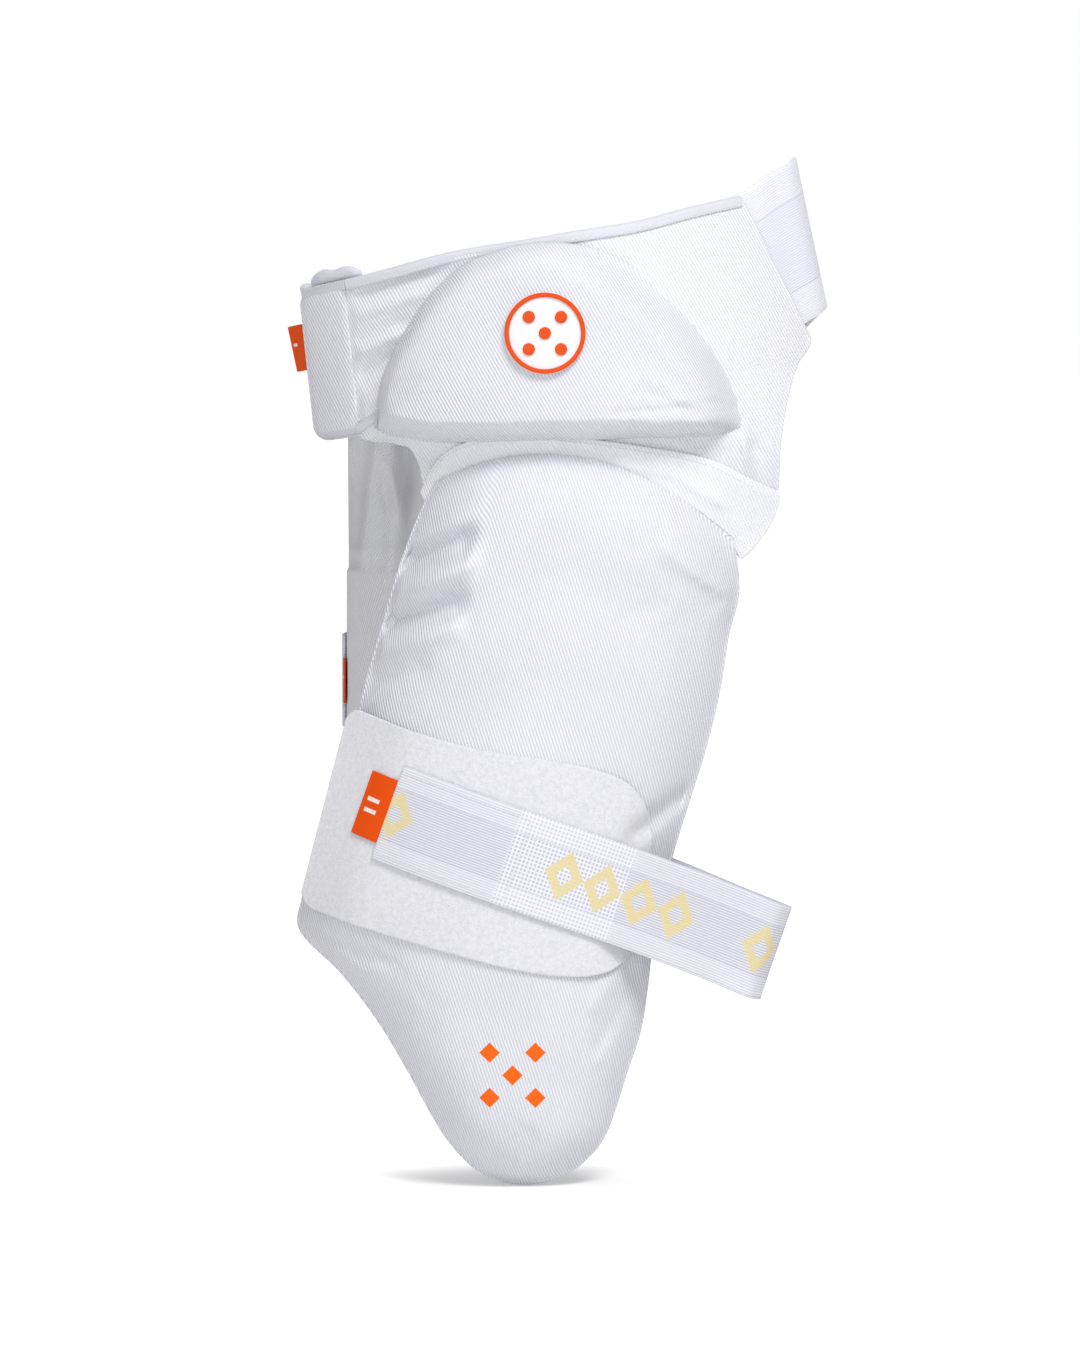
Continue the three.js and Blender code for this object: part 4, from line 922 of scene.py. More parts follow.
def elastic_thread(v):
    z = BAND_TOP - BAND_HEIGHT / 2 + (0.5 - v) * ELASTIC_WIDTH
    points = [inside_belt(share * WAIST_RIGHT, z + rise * ELASTIC_WIDTH, ELASTIC_TUCK)
              for share, rise in ((0.7, 0), (0.76, 0.01), (0.82, 0.045), (0.89, 0.095))]
    for x, y, rise in ELASTIC_ROUTE:
        reach = WAIST_LEFT if x < 0 else WAIST_RIGHT
        points.append(from_belt(x * reach, y * WAIST_DEPTH, z + rise * ELASTIC_WIDTH))
    points += [inside_belt(-share * WAIST_LEFT, z, ELASTIC_TUCK) for share in (0.875, 0.81, 0.73)]
    return points


def hip_back(v):
    return BAND_WALL / 2 + BINDING_WALL + 3 * GAP + smoothstep(0.45, 0.85, v) * YOKE_WALL


def hip_level(u, v, to_top, to_low):
    """Height of the pad's front over the body: a crisp rim at its left, at its right a long soft slope that
    sinks into the harness cloth, and below a turn that grows softer towards the right."""
    right = smoothstep(0.42, 0.78, u)
    reach = lerp(0.14, 0.46, right) * HIP_HEIGHT
    side = np.clip(1 - np.minimum(u, 1 - u) * HIP_WIDTH / reach, 0, 1)
    top = np.clip(1 - to_top / reach, 0, 1)
    rise = (1 - side ** 2.3) * (1 - top ** 2.3)
    soft = lerp(rise, smoothstep(0, 1, rise), right)
    full = hip_back(v) + lerp(lerp(HIP_RIM, -hip_back(v) - SUNK, right), HIP_THICK, soft)
    under = np.clip(1 - to_low / lerp(HIP_TURN, HIP_SOFT_TURN, right), 0, 1)
    crisp = 1 - under ** 1.4
    turn_in = lerp(crisp, smoothstep(0, 1, 1 - under ** 1.6), right)
    return lerp(-SUNK, full, turn_in)


def hip_skirt(u):
    """How far the pad's cover runs on below the pad, onto the harness."""
    return HIP_SKIRT * smoothstep(0.04, 0.16, u) * (1 - 0.6 * smoothstep(0.85, 1, u))


def hip_point(u, v, side):
    top = read(HIP_COLUMNS, "top", u) * HIP_HEIGHT + HIP_ROUND
    low = read(HIP_COLUMNS, "bottom", u) * HIP_HEIGHT + hip_skirt(u)
    x = lerp(HIP_ROUND, HIP_WIDTH - HIP_ROUND, u) - HIP_LEFT
    z = HIP_TOP - lerp(top, low, v)
    to_top, to_low = v * (low - top), (1 - v) * (low - top)
    front = hip_level(u, v, to_top, to_low)
    rear = np.minimum(hip_back(v), front - 1.5 * SUNK)
    fold = creases(HIP_CREASES, x, z) + creases(CREASES, x, z) * (1 - smoothstep(4 * MM, 13 * MM, to_low))
    fold = fold * side * smoothstep(0, 3 * MM, to_low)
    return on_front(x, z, lerp(rear, front, side) + fold)


HIP_CREASES = (
    (20, -62, 70, -58, 2.4, -1.2), (58, -16, 94, -44, 6, -0.9),
    (62, -38, 90, -60, 4, 1.1), (40, -48, 74, -64, 3, -1.3), (20, -69, 60, -77, 2, -1.2),
    (-54, -71, -4, -75, 2, -1), (-10, -74, 30, -71, 1.8, 1), (40, -75, 80, -68, 2, 1.2),
    (76, -28, 98, -18, 3, 0.8), (50, -57, 84, -52, 3, 1.1), (70, -52, 96, -62, 3, -1.2),
    (-88, -69, -60, -71, 1.8, 0.9))


def hip_front(x, z):
    u = np.clip((x + HIP_LEFT) / HIP_WIDTH, 0, 1)
    top = HIP_TOP - read(HIP_COLUMNS, "top", u) * HIP_HEIGHT
    low = HIP_TOP - read(HIP_COLUMNS, "bottom", u) * HIP_HEIGHT - hip_skirt(u)
    v = np.clip((top - z) / (top - low), 0, 1)
    return hip_level(u, v, v * (top - low), (1 - v) * (top - low))


def on_badge(x, z, out):
    return on_front(BADGE_X + x, BADGE_Z + z, hip_front(BADGE_X + x, BADGE_Z + z) + 2 * GAP + out)


def turned(name, profile, sides, place, material, nodes):
    """A turned form laid on a surface: profile rows are radius and height, place takes x, z and height."""
    angles = np.arange(sides) * 2 * math.pi / sides
    points, uv = [], []
    for radius, high in profile:
        x, z = radius * np.cos(angles), radius * np.sin(angles)
        points.append(place(x, z, np.full(sides, high)))
        uv.append(np.stack([x, z], axis=-1))
    rows = len(profile)
    index = np.arange(rows * sides).reshape(rows, sides)
    faces = []
    for row in range(rows - 1):
        near, far = index[row], index[row + 1]
        faces += np.stack([near, np.roll(near, -1), np.roll(far, -1), far], axis=-1).tolist()
    return finish_mesh(name, np.concatenate(points), faces, np.concatenate(uv), material, nodes)


def rounded_profile(inner, outer, low, high, soft):
    """Profile of a ring or disc with soft upper edges, as radius and height."""
    rows = [(inner, low), (outer, low)] if inner > 0 else [(1e-5, low), (outer, low)]
    rows.append((outer, high - soft))
    for k in (30, 60, 90):
        turn = math.radians(k)
        rows.append((outer - soft + soft * math.cos(turn), high - soft + soft * math.sin(turn)))
    if inner > 0:
        for k in (90, 60, 30, 0):
            turn = math.radians(k)
            rows.append((inner + soft - soft * math.cos(turn), high - soft + soft * math.sin(turn)))
        rows.append((inner, low))
    else:
        rows += [(outer * share, high) for share in (0.66, 0.33)] + [(1e-5, high)]
    return rows


def yoke_point(u, v, side):
    x = lerp(read(YOKE_COLUMNS, "x", u), read(YOKE_COLUMNS, "low_x", u), v) * PAD_WIDTH - PAD_LEFT
    x = x + YOKE_END_BOW * 4 * v * (1 - v) * smoothstep(0.75, 1, u)
    z = PAD_TOP - lerp(read(YOKE_COLUMNS, "top", u), read(YOKE_COLUMNS, "low", u), v) * HIP_HEIGHT
    rim = (1 - smoothstep(0, 0.12, np.minimum(v, 1 - v))) * 0.6 * MM
    fold = creases(YOKE_FOLDS, x, z) * np.minimum(1, 5 * np.minimum(v, 1 - v)) * side
    return on_front(x, z, CLOTH_WALL / 2 + 2 * GAP + side * (YOKE_WALL - rim) + fold)


YOKE_FOLDS = (
    (30, -88, 70, -96, 3, 0.9), (60, -96, 88, -112, 3, 1.1), (-30, -86, 20, -84, 2.5, 0.7),
    (80, -104, 96, -128, 3.5, 0.9))


def pad_thickness(u, v):
    row = (read(PAD_ROWS, "right", v) - read(PAD_ROWS, "left", v)) * PAD_WIDTH
    to_side = np.minimum(u, 1 - u) * row
    to_end = np.minimum(v, 1 - v) * PAD_HEIGHT
    fold = relief(PAD_FOLDS, u, v, PAD_HEIGHT / PAD_WIDTH) * DENT_DEPTH
    rise = dome(to_side, to_end, PAD_SLOPE)
    return lerp(PAD_RIM, PAD_THICK, rise) + fold * np.minimum(1, rise * 5)


def pad_point(u, v, side):
    left = read(PAD_ROWS, "left", v) * PAD_WIDTH + PAD_ROUND
    right = read(PAD_ROWS, "right", v) * PAD_WIDTH - PAD_ROUND
    slant = read(PAD_ROWS, "slant", v) * (u - 0.5)
    bow = read(PAD_ROWS, "bow", v)
    bulge = bow * (1 - (2 * u - 1) ** 2)
    z = PAD_TOP - lerp(PAD_ROUND, PAD_HEIGHT - PAD_ROUND, v) - (slant - bulge + bow) * PAD_HEIGHT
    return on_front(lerp(left, right, u) - PAD_LEFT, z, PAD_REAR + side * pad_thickness(u, v))


def pad_place(x, z):
    """The pad's own shares across and down at a place of the picture."""
    v = np.clip((PAD_TOP - z) / PAD_HEIGHT, 0, 1)
    for _ in range(4):
        left = read(PAD_ROWS, "left", v) * PAD_WIDTH - PAD_LEFT
        right = read(PAD_ROWS, "right", v) * PAD_WIDTH - PAD_LEFT
        u = np.clip((x - left) / (right - left), 0, 1)
        bend = read(PAD_ROWS, "slant", v) * (u - 0.5) + read(PAD_ROWS, "bow", v) * (2 * u - 1) ** 2
        v = np.clip((PAD_TOP - z) / PAD_HEIGHT - bend, 0, 1)
    return u, v


def pad_front(x, z):
    return PAD_REAR + pad_thickness(*pad_place(x, z))


def patch_bed(x, z):
    """Surface under the patch: the pad's front, bridged straight over its left rim."""
    v = pad_place(x, z)[1]
    left = read(PAD_ROWS, "left", v) * PAD_WIDTH - PAD_LEFT
    rest = left + PATCH_BRIDGE
    front = front_depth(x, z) - pad_front(np.maximum(x, rest), z)
    start = front_depth(rest, z) - pad_front(rest, z)
    ahead = front_depth(rest + PATCH_STEP, z) - pad_front(rest + PATCH_STEP, z)
    run = (ahead - start) / PATCH_STEP
    return np.where(x < rest, start + run * PATCH_TURN * (x - rest), front)


def patch_point(u, v, side):
    x = lerp(read(PATCH_COLUMNS, "x", u), read(PATCH_COLUMNS, "low_x", u), v) * PATCH_WIDTH - PAD_LEFT
    z = PAD_TOP - lerp(read(PATCH_COLUMNS, "top", u), read(PATCH_COLUMNS, "low", u), v) * PAD_HEIGHT
    point = on_front(x, z, 0)
    point[..., 1] = patch_bed(x, z) - PATCH_LIFT - side * PATCH_WALL
    return point


def from_strap(x, y, z):
    return stack(STRAP_MIDDLE_X + x * math.cos(STRAP_TILT) - z * math.sin(STRAP_TILT), y,
                 STRAP_MIDDLE_Z + x * math.sin(STRAP_TILT) + z * math.cos(STRAP_TILT))


def strap_depth(x, z):
    lay = PATCH_LIFT + PATCH_WALL + 2 * GAP + STRAP_WALL / 2

    def surface(at):
        return patch_bed(at, z) - lay
    rest = np.full_like(np.asarray(z, dtype=float), STRAP_REST)
    slope = (surface(rest) - surface(rest - 4 * MM)) / (4 * MM)
    beyond = surface(rest) + np.maximum(slope, 0.1) * (x - STRAP_REST)
    return np.where(x < STRAP_REST, surface(np.minimum(x, STRAP_REST)), beyond)


def strap_thread(v):
    z = (0.5 - v) * STRAP_WIDTH
    points = []
    for share in np.linspace(0, 1, 13):
        along = lerp(STRAP_LEFT, STRAP_REACH, share)
        place = from_strap(along, 0, z - STRAP_SAG * max(0, along / STRAP_REACH) ** 2)
        place[1] = strap_depth(place[0], place[2])
        points.append(place)
    turn = points[-1][1]
    for x, y, drop in STRAP_ROUTE:
        low = z - STRAP_SAG * min(1, max(0, x)) ** 2 - drop * STRAP_WIDTH
        points.append(from_strap(x * STRAP_REACH, turn + y * WAIST_DEPTH, low))
    for share in (1.16, 1.06, 0.94):
        place = from_strap(share * STRAP_LEFT, 0, z - STRAP_ROUTE[-1][2] * STRAP_WIDTH)
        place[1] = front_depth(place[0], place[2]) - PAD_REAR + GAP + STRAP_WALL
        points.append(place)
    return points


def strap_label_point(u, v, side):
    place = from_strap(STRAP_LEFT - LABEL_WIDTH + u * (LABEL_WIDTH - GAP), 0, (0.5 - v) * LABEL_HEIGHT)
    place[..., 1] = strap_depth(place[..., 0], place[..., 2]) - (side - 0.5) * LABEL_WALL
    return place


def around_thigh(angle, radius, z):
    turn = np.radians(angle)
    return stack(INNER_X + radius * np.cos(turn), INNER_Y + radius * np.sin(turn), z)


def inner_thickness(u, v):
    arc = math.radians(INNER_TO - INNER_FROM) * INNER_RADIUS
    to_side = np.minimum(u, 1 - u) * arc
    to_end = (1 - v) * INNER_HEIGHT
    return lerp(INNER_RIM, INNER_THICK, dome(to_side, to_end, 0.3 * INNER_RADIUS))


def inner_pad_point(u, v, side):
    low = 0.14 * np.maximum(0, v - 0.45) ** 1.5 * (INNER_TO - INNER_FROM) * 2
    angle = lerp(INNER_FROM + low, INNER_TO - low, u)
    corner = np.maximum(0, np.abs(2 * u - 1) - 0.6) ** 2 * np.sign(v - 0.5)
    z = INNER_TOP - v * INNER_HEIGHT + np.maximum(0, corner) * 0.4 * INNER_RADIUS * v
    return around_thigh(angle, INNER_RADIUS + side * inner_thickness(u, v), z)


INNER_FOLDS = (
    (-106, -76, -91, -97, 3.5, 5), (-92, -95, -86, -134, 3.2, 5), (-83, -70, -81, -114, 6, -16),
    (-96, -98, -92, -119, 4, -7), (-118, -147, -86, -152, 4, 3), (-118, -138, -88, -145, 3.5, -3),
    (-113, -84, -109, -126, 5, 3), (-72, -70, -68, -130, 5, 4))


def inner_cloth_point(u, v, side):
    tuck = ELASTIC_TUCK + ELASTIC_WALL / 2 + GAP + CLOTH_WALL / 2
    inward = tuck - (side - 0.5) * CLOTH_WALL
    x = -lerp(0.83, 0.42, u) * WAIST_LEFT
    fall = np.minimum(v / INNER_CLOTH_SEWN, 1) * INNER_CLOTH_LAP
    top = inside_belt(x, INNER_CLOTH_TOP - fall, inward)
    radius = INNER_RADIUS + INNER_THICK - CLOTH_WALL + (side - 0.5) * CLOTH_WALL
    low = around_thigh(lerp(INNER_CLOTH_FROM, INNER_CLOTH_TO, u), radius, INNER_TOP + GAP)
    share = np.clip((v - INNER_CLOTH_SEWN) / (1 - INNER_CLOTH_SEWN), 0, 1)[..., None]
    hung = lerp(top, low, share)
    fallen = share[..., 0]
    free = np.sin(math.pi * fallen)
    wave_out = np.sin(u * math.pi * 5 + fallen * 2) * free * INNER_WAVE
    fold = creases(INNER_FOLDS, hung[..., 0], hung[..., 2]) * np.minimum(1, 4 * free)
    hung[..., 1] += wave_out - fold
    return np.where((v <= INNER_CLOTH_SEWN)[..., None], top, hung)


def inner_strap_thread(v):
    z = INNER_TOP - INNER_STRAP_DROP + (0.5 - v) * STRAP_WIDTH
    inside = INNER_RADIUS - GAP - STRAP_WALL / 2
    outside = INNER_RADIUS + INNER_THICK + 2 * GAP + STRAP_WALL / 2
    points = [around_thigh(INNER_TO - back, inside, z) for back in (20, 13.333, 6.667)]
    for share in np.linspace(0, 1, 9):
        angle = lerp(INNER_TO + 16, INNER_FROM + 344, share)
        points.append(around_thigh(angle, lerp(inside, outside, share), z))
    last = np.linspace(INNER_FROM + 368, INNER_STRAP_END + 360, 4)
    points += [around_thigh(angle, outside, z) for angle in last]
    return points


def inner_label_point(u, v, side):
    z = INNER_TOP - INNER_STRAP_DROP + (0.5 - v) * BELT_LABEL_HEIGHT
    radius = INNER_RADIUS + INNER_THICK + 2 * GAP + STRAP_WALL / 2 + (side - 0.5) * LABEL_WALL
    start = INNER_STRAP_END + np.degrees(2 * GAP / radius)
    return around_thigh(start + u * np.degrees(BELT_LABEL_WIDTH / radius), radius, z)


def lengths(place, across, down):
    """Cloth coordinates along and across a piece, from its measured middle line and width."""
    middle = place(across, np.full_like(across, 0.5), np.full_like(across, 0.5))
    run = np.concatenate([[0], np.cumsum(np.linalg.norm(np.diff(middle, axis=0), axis=1))])
    edge = place(np.full_like(down, 0.02), down, np.full_like(down, 0.5))
    width = np.concatenate([[0], np.cumsum(np.linalg.norm(np.diff(edge, axis=0), axis=1))])

    def coordinates(u, v):
        return np.stack([np.interp(u, across, run), np.interp(v, down, width)], axis=-1)
    return coordinates


# Materials
def knit(name, degrees, print_spots=(), tones=(WHITE_DEEP, WHITE_LIGHT)):
    """White warp knit with fine slanted ribs of small loops, and small printed lozenges where given."""
    finish = Finish(name, Roughness=0.85, Sheen_Weight=0.1, Sheen_Roughness=0.5, Specular_IOR_Level=0.25)
    x, y = finish.cloth_place()
    slant = math.radians(degrees)
    across = x * math.sin(slant) + y * math.cos(slant)
    along = y * math.sin(slant) - x * math.cos(slant)
    rib = wave(across, RIB)
    loops = wave(along, 1.2 * MM)
    weave = rib * 0.75 + rib * loops * 0.25
    slow = finish.noise(22, 3)
    fine = finish.noise(900, 2)
    colour = finish.mix((weave * 0.75 + slow * 0.3).least(1), *tones)
    plane_x, _, plane_z = finish.place()
    for spot_x, spot_z in print_spots:
        spot = lozenge(plane_x, plane_z, spot_x * MM, spot_z * MM, PRINT_HALF, PRINT_HALF).below(1, 0.05)
        colour = finish.mix(spot * finish.facing_front(), colour, linear(255, 104, 4))
    finish.feed("Base Color", colour)
    finish.bump(weave + fine * 0.4 + slow * 1.2, 0.34 * MM)
    return finish.material


def strap_grid(s):
    """Where the strap's weave opens into a grid: past the sewn end, up to the fine ribs."""
    return (1 - s.below(STRAP_SEWN, 1.5 * MM)) * s.below(STRAP_OPEN, 1.5 * MM)


def strap_print(s, t):
    """Woven lozenges in the strap's middle band, each with a hollow middle."""
    mask = None
    for place in STRAP_FIGURES:
        near = lozenge(s, t, place * MM, STRAP_WIDTH / 2, 11 * MM, 13.5 * MM)
        figure = near.below(1, 0.06) * (1 - near.below(0.42, 0.06))
        mask = figure if mask is None else mask.most(figure)
    return mask


def edge_bands(t, width, share):
    """1 on the two edge bands of a webbing, 0 on its middle."""
    return t.below(width * share, 0.3 * MM).most(1 - t.below(width * (1 - share), 0.3 * MM))


def elastic_finish(name, width, deep, light, figures=None, opening=None):
    """White woven elastic: fine ribs along it, denser edge bands, and woven figures where given."""
    finish = Finish(name, Roughness=0.72, Sheen_Weight=0.2, Sheen_Roughness=0.5)
    s, t = finish.cloth_place()
    rib = wave(t, 1.35 * MM)
    picks = wave(s, 0.95 * MM)
    weave = rib * 0.7 + rib * picks * 0.3
    depth = weave
    if opening is not None:
        openness = opening(s)
        net = wave(t, 2.1 * MM).most(wave(s, 2.1 * MM)).power(1.6)
        depth = weave * (1 - openness) + net * openness
    bands = edge_bands(t, width, EDGE_BAND)
    line = abs(t - width * EDGE_BAND).least(abs(t - width * (1 - EDGE_BAND))).below(0.35 * MM, 0.2 * MM)
    colour = finish.mix(depth, deep, light)
    colour = finish.mix(bands * 0.3, colour, light)
    colour = finish.mix(line * 0.5, colour, linear(196, 195, 212))
    if figures is not None:
        colour = finish.mix(figures(s, t) * 0.92, colour, linear(224, 208, 156))
    finish.feed("Base Color", colour)
    finish.bump(depth + bands * 0.5 - line * 0.8, 0.13 * MM)
    return finish.material


hip_cloth = knit("hip_cloth", 60)
pad_cloth = knit("pad_cloth", 72, PRINT_SPOTS)
# Harness and waist band cloth: the pads' white knit in lighter, flatter tones; the lift is painted light
# for the brightly lit harness and wing
body_cloth_painted_light = knit("body_cloth_painted_light", 60, tones=(linear(216, 216, 224), linear(247, 247, 251)))
# Yoke cloth: the white knit in still lighter tones; the lift is painted light for the bright band along the
# pad's top
yoke_cloth = knit("yoke_knit_painted_light", 60, tones=(linear(230, 230, 237), linear(251, 251, 254)))
# Inner cloth and inner pad: the white knit in lighter tones; the lift is painted light that makes up for
# the shade they hang in
inner_cloth_painted_light = knit("inner_knit_painted_light", 66, tones=(linear(212, 212, 218), linear(247, 247, 250)))
edge_cloth = binding_cloth()
loop_cloth = brushed_loop()
thread_white = thread_finish()
waist_finish = elastic_finish("waist_elastic_weave", ELASTIC_WIDTH, linear(220, 219, 234),
                              linear(248, 248, 253))
STRAP_TONES = linear(184, 184, 196), linear(235, 235, 242)
strap_finish = elastic_finish("strap_weave", STRAP_WIDTH, *STRAP_TONES, strap_print, strap_grid)
inner_strap_finish = elastic_finish("inner_strap_weave", STRAP_WIDTH, *STRAP_TONES)
white_rubber = rubber("badge_white", linear(228, 228, 234), linear(238, 238, 243))
orange_rubber = rubber("badge_orange", linear(212, 66, 4), linear(232, 84, 10))
label_finish = label_satin("label_satin", ((14, 1.1, 3, 12), (20, 1.1, 3, 12)))
small_label_finish = label_satin("small_label_satin", ((10, 0.8, 2, 7),))


# Pieces
def front_piece(name, across, down, place, material, nodes, shift=None, rim=None):
    """Piece whose cloth coordinates are its places seen from the front."""
    return panel(name, across, down, place, material, nodes, rim, laid_cloth(place), shift)


def long_piece(name, across, down, place, material, node, shift=None):
    """Piece whose cloth coordinates are its own measured length and width."""
    return panel(name, across, down, place, material, (node,), cloth=lengths(place, across, down),
                 shift=shift)


harness = front_piece("waist_harness", spread(150), spread(130), harness_point, body_cloth_painted_light,
                      ("waist_band", "harness_cloth"))
front_piece("closure_tab_cloth", spread(24, 0.7), spread(60, 0.7), tab_point, hip_cloth,
            ("closure_tab",))
long_piece("top_binding", spread(160), spread(30), top_binding_point, edge_cloth,
           "band_top_binding")
long_piece("lower_binding", spread(24), spread(8), lower_binding_point, edge_cloth,
           "band_lower_binding")


def tab_strip(v_edge):
    """Folded strip along the tab's top or bottom edge, its rim rounded over the tab's face."""
    def place(u, v, side):
        reached = abs(v_edge - v * BINDING_WIDTH / BAND_HEIGHT)
        x = lerp(tab_edge(reached) + 0.4 * MM, band_seam(v_edge) - 2 * GAP, u)
        edge = BAND_TOP - v_edge * BAND_HEIGHT
        inward = (1 - 2 * v_edge) * v * BINDING_WIDTH
        crown = np.sqrt(np.maximum(0, 1 - np.abs(2 * v - 1) ** 3)) * BINDING_WALL
        droop = smoothstep(0, 0.2, 1 - u) * 0.4 * MM
        return on_belt(x, edge - inward, TAB_WALL / 2 + side * crown - 0.4 * MM - droop)
    return place


for strip_name, strip_edge in (("tab_upper_strip", 0), ("tab_lower_strip", 1)):
    strip_point = tab_strip(strip_edge)
    long_piece(strip_name, spread(50), spread(10), strip_point, edge_cloth, "tab_binding")
long_piece("belt_tag", spread(12), spread(16), belt_label_point, small_label_finish, "belt_label")
BELT_UP = np.array([-math.sin(WAIST_TILT), 0, math.cos(WAIST_TILT)])
STRAP_UP = np.array([-math.sin(STRAP_TILT), 0, math.cos(STRAP_TILT)])
PLAIN_UP = np.array([0.0, 0, 1])
elastic_point = webbing(elastic_thread, BELT_UP, ELASTIC_WALL)
long_piece("waist_elastic_band", spread(260), spread(24), elastic_point, waist_finish,
           "waist_elastic")


def belt_end_point(u, v, side):
    """Rolled seam at the belt's free end, standing above the tab's top edge."""
    x = lerp(ROLL_LEFT, ROLL_RIGHT, u)
    arch = np.sin(math.pi * np.clip(u, 0, 1) ** 0.85) ** 0.4 * (1 - 0.22 * np.sin(math.pi * u) ** 8)
    z = BAND_TOP + ROLL_FOOT + (1 - v) * ROLL_HEIGHT * arch
    round_off = np.sqrt(np.maximum(0, 1 - (2 * v - 1) ** 2)) * np.minimum(1, 6 * np.minimum(u, 1 - u))
    half = lerp(0.5 * MM, ROLL_WALL, round_off)
    return on_belt(x, z, -ELASTIC_TUCK + (2 * side - 1) * half)


panel("belt_end_roll", spread(40, 0.6), spread(24, 0.6), belt_end_point, edge_cloth,
      cloth=laid_cloth(belt_end_point))

hip_across, hip_down = spread(200, 0.9), spread(110, 0.6)
hip_settled = (1 - smoothstep(0.6, 0.85, hip_across))[None, :, None]
hip_swell = [travel * hip_settled for travel in
             swell(hip_point, spread(56, 0.8), spread(30, 0.6), hip_across, hip_down, 4, SWELL_CAP)]
hip = front_piece("hip_cushion", hip_across, hip_down, hip_point, hip_cloth, ("hip_pad",),
                  hip_swell, HIP_ROUND)

RAISED = BADGE_WALL + GAP + RING_HEIGHT
DISC_PROFILE = rounded_profile(0, BADGE_DIAMETER / 2, 0, BADGE_WALL, 0.5 * MM)
RING_PROFILE = rounded_profile(BADGE_DIAMETER / 2 - GAP - RING_WIDTH, BADGE_DIAMETER / 2 - GAP, BADGE_WALL,
                               RAISED, 0.4 * MM)
DOT_PROFILE = rounded_profile(0, DOT_DIAMETER / 2, BADGE_WALL, RAISED, 0.4 * MM)
turned("badge_plate", DISC_PROFILE, 96, on_badge, white_rubber, ("badge_disc",))
turned("badge_rim", RING_PROFILE, 96, on_badge, orange_rubber, ("badge_ring",))


def badge_spot(number, column, row):
    def place(x, z, out):
        return on_badge(x + column * DOT_SPREAD, z + row * DOT_SPREAD, out)
    turned(f"badge_spot_{number}", DOT_PROFILE, 40, place, orange_rubber,
           (f"badge_dot_{number}",))


for number, (column, row) in enumerate(((-1, 1), (1, 1), (0, 0), (-1, -1), (1, -1)), 1):
    badge_spot(number, column, row)

yoke = front_piece("yoke_cloth", spread(140), spread(26), yoke_point, yoke_cloth, ("pad_yoke",))

pad_across, pad_down = spread(170, 0.7), spread(260, 0.75)
pad_swell = swell(pad_point, spread(48, 0.6), spread(76, 0.7), pad_across, pad_down, 4, SWELL_CAP)
pad = front_piece("thigh_cushion", pad_across, pad_down, pad_point, pad_cloth, ("thigh_pad",),
                  pad_swell, PAD_ROUND)
patch = front_piece("loop_panel", spread(160, 0.6), spread(90, 0.4), patch_point, loop_cloth,
                    ("loop_patch",))
strap_point = webbing(strap_thread, STRAP_UP, STRAP_WALL)
long_piece("thigh_strap_band", spread(320), spread(24), strap_point, strap_finish, "thigh_strap")
long_piece("strap_tag", spread(16), spread(24), strap_label_point, label_finish, "strap_label")
inner_hang = long_piece("inner_hanging_cloth", spread(90), spread(90), inner_cloth_point,
                        inner_cloth_painted_light, "inner_cloth")
inner_across, inner_down = spread(110, 0.6), spread(120, 0.6)
inner_swell = swell(inner_pad_point, spread(36, 0.5), spread(40, 0.5), inner_across, inner_down, 4,
                    SWELL_CAP / 2)
inner = long_piece("inner_cushion", inner_across, inner_down, inner_pad_point, inner_cloth_painted_light,
                   "inner_pad", shift=inner_swell)
inner_strap_point = webbing(inner_strap_thread, PLAIN_UP, STRAP_WALL)
long_piece("inner_strap_band", spread(220), spread(20), inner_strap_point, inner_strap_finish,
           "inner_strap")
long_piece("inner_tag", spread(12), spread(16), inner_label_point, small_label_finish,
           "inner_label")


# Stitches
def sewn(name, piece, u, v):
    stitches(name, *surface_line(piece, u, v))


LINE = np.linspace(0, 1, 120)
sewn("band_top_stitch", "top_binding", LINE, 0.93)
sewn("tab_seam_stitch", "closure_tab_cloth", 0.97, LINE)
sewn("wing_hem_stitch", "waist_harness", 0.985, lerp(0.42, 0.9, LINE))
sewn("yoke_low_stitch", "yoke_cloth", lerp(0.05, 0.95, LINE), 0.9)
sewn("yoke_top_stitch", "yoke_cloth", lerp(0.08, 0.92, LINE), 0.1)
sewn("strap_end_stitch", "thigh_strap_band", 0.157, lerp(0.06, 0.94, LINE))
sewn("strap_upper_stitch", "thigh_strap_band", lerp(0.006, 0.155, LINE), 0.06)
sewn("strap_lower_stitch", "thigh_strap_band", lerp(0.006, 0.155, LINE), 0.94)


# Cloth cuts: each sheet's flat area is worked out but not kept, and the widths, lengths, holds and rests
# listed with them are not used
def cut(piece):
    """Flat area of a sheet: half of all its faces."""
    return sum(face.area for face in piece.data.polygons) / 2


for sheet_piece, width, length, held, rests in (
        (harness, 0.31, 0.2, "gathered", ["hip_pad"]), (yoke, 0.24, 0.04, "laid", ["thigh_pad"]),
        (patch, 0.2, 0.12, "laid", ["thigh_pad"]), (inner_hang, 0.12, 0.16, "hung", ["waist_band"])):
    cut(sheet_piece)
    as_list(rests)


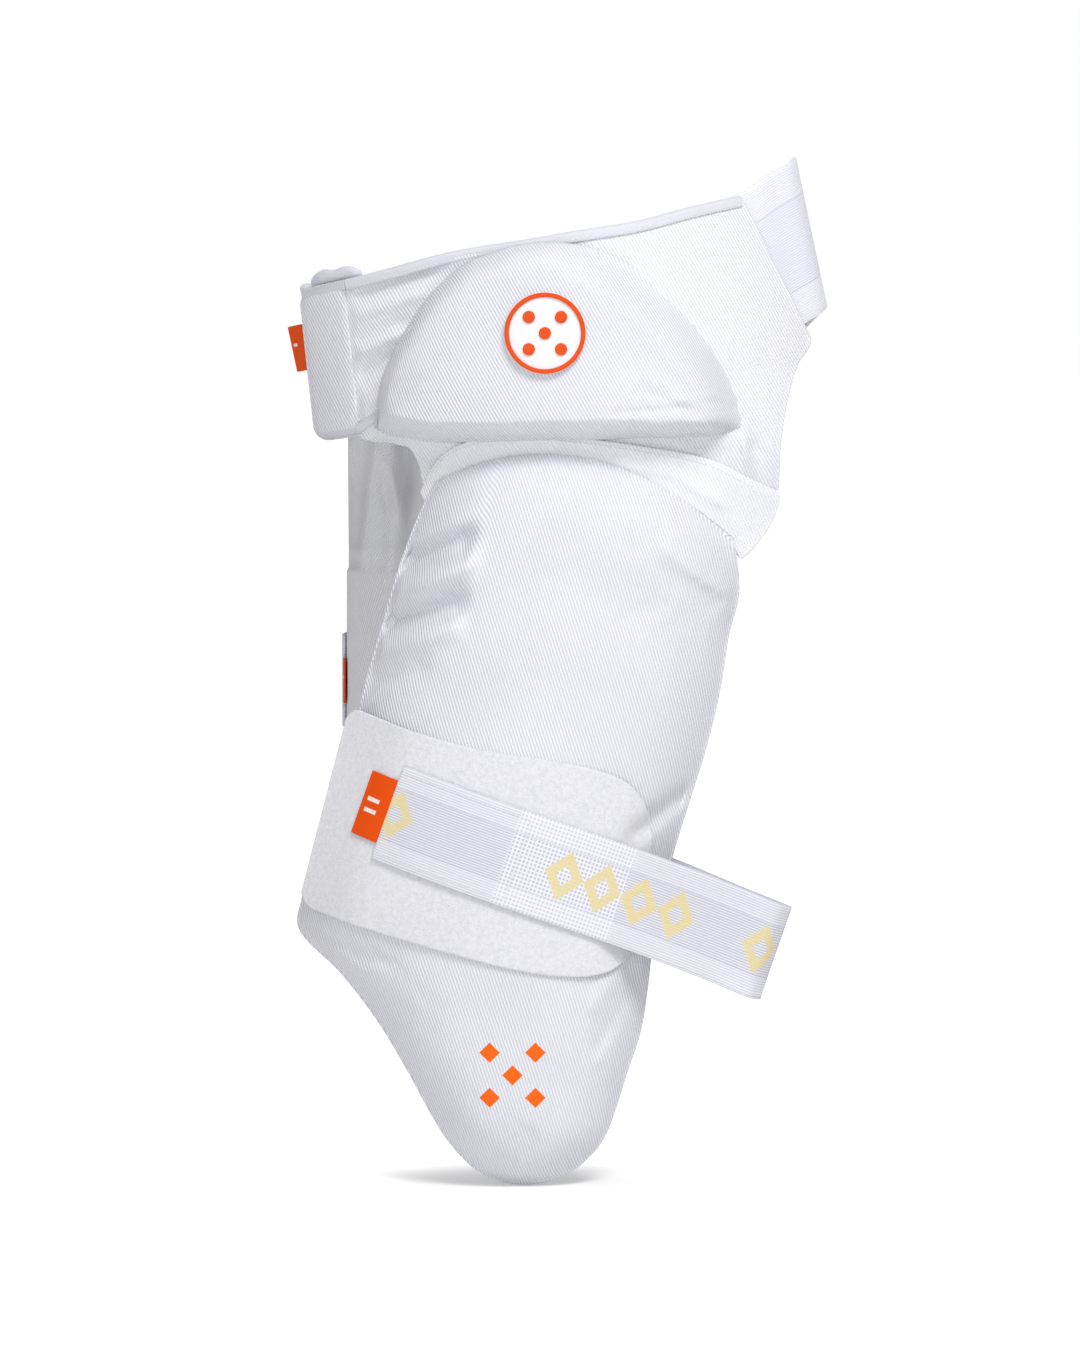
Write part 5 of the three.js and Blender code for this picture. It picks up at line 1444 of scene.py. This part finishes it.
# Floor, light and camera
def pale_floor():
    floor_finish = Finish("floor_white", Roughness=0.9)
    shade = floor_finish.noise(3, 2)
    floor_finish.feed("Base Color", floor_finish.mix(shade, (0.9, 0.9, 0.9), (0.92, 0.92, 0.92)))
    # Seen by the camera the floor glows white, and round the pad's tip that glow is dimmed: a painted
    # contact shadow laid over the shadow the lamps cast there. To other rays the floor glows only faintly.
    eye = floor_finish.node("ShaderNodeLightPath")
    x, y, _ = floor_finish.place()
    away = (x - SHADOW_X).power(2) + (y - SHADOW_Y).power(2)
    painted_shadow_glow = floor_finish.ramp(away, *SHADOW_REACH, *SHADOW_GLOW)
    shown = floor_finish.mix(painted_shadow_glow, (0, 0, 0), (1, 1, 1))
    floor_finish.feed("Emission Color", floor_finish.mix(eye, (0.05, 0.05, 0.05), shown))
    floor_finish.shader.inputs["Emission Strength"].default_value = 1
    mesh = bpy.data.meshes.new("floor")
    low = CAD_BOX[0][2] - FLOOR_DROP
    corners = [(x * FLOOR_HALF, y * FLOOR_HALF, low) for x, y in ((-1, -1), (1, -1), (1, 1), (-1, 1))]
    mesh.from_pydata(corners, [], [(0, 1, 2, 3)])
    mesh.materials.append(floor_finish.material)
    floor = bpy.data.objects.new("floor", mesh)
    bpy.context.scene.collection.objects.link(floor)


def soft_light(name, at, size, power):
    data = bpy.data.lights.new(name, "AREA")
    data.shape = "DISK"
    data.size = size
    data.energy = power
    lamp = bpy.data.objects.new(name, data)
    lamp.location = at
    lamp.rotation_euler = (Vector(LIGHT_AIM) - Vector(at)).to_track_quat("-Z", "Y").to_euler()
    bpy.context.scene.collection.objects.link(lamp)


def studio_world():
    """White to the eye; as light, brighter from the upper right in front than from behind."""
    world = bpy.data.worlds.new("studio")
    bpy.context.scene.world = world
    world.use_nodes = True
    tree = world.node_tree
    background = tree.nodes["Background"]
    background.inputs["Color"].default_value = (1, 1, 1, 1)
    place = tree.nodes.new("ShaderNodeTexCoord")
    facing = tree.nodes.new("ShaderNodeVectorMath")
    facing.operation = "DOT_PRODUCT"
    facing.inputs[1].default_value = Vector(LIGHT_SIDE).normalized()
    tree.links.new(place.outputs["Generated"], facing.inputs[0])
    sky = tree.nodes.new("ShaderNodeMapRange")
    for index, value in ((1, -1), (2, 1), (3, SKY_DARK), (4, SKY_LIGHT)):
        sky.inputs[index].default_value = value
    tree.links.new(facing.outputs["Value"], sky.inputs[0])
    path = tree.nodes.new("ShaderNodeLightPath")
    strength = tree.nodes.new("ShaderNodeMix")
    strength.inputs["B"].default_value = 1
    tree.links.new(path.outputs["Is Camera Ray"], strength.inputs["Factor"])
    tree.links.new(sky.outputs[0], strength.inputs["A"])
    tree.links.new(strength.outputs[0], background.inputs["Strength"])


def photograph_camera():
    data = bpy.data.cameras.new("camera")
    data.sensor_fit = "VERTICAL"
    data.sensor_height = 36
    data.lens = 36 * VIEW_DISTANCE / (FRAME_HEIGHT * PIXEL)
    aim = Vector(((FRAME_WIDTH / 2 - WAIST_PIXEL[0]) * PIXEL, -WAIST_DEPTH,
                  (WAIST_PIXEL[1] - FRAME_HEIGHT / 2) * PIXEL))
    camera = bpy.data.objects.new("camera", data)
    camera.location = aim + Vector((0, -math.cos(VIEW_LIFT), math.sin(VIEW_LIFT))) * VIEW_DISTANCE
    camera.rotation_euler = (math.pi / 2 - VIEW_LIFT, 0, 0)
    bpy.context.scene.collection.objects.link(camera)
    bpy.context.scene.camera = camera


pale_floor()
studio_world()
soft_light("key", KEY_PLACE, KEY_SIZE, KEY_POWER)
soft_light("fill", FILL_PLACE, FILL_SIZE, FILL_POWER)
photograph_camera()
bpy.context.scene.view_settings.view_transform = "Standard"
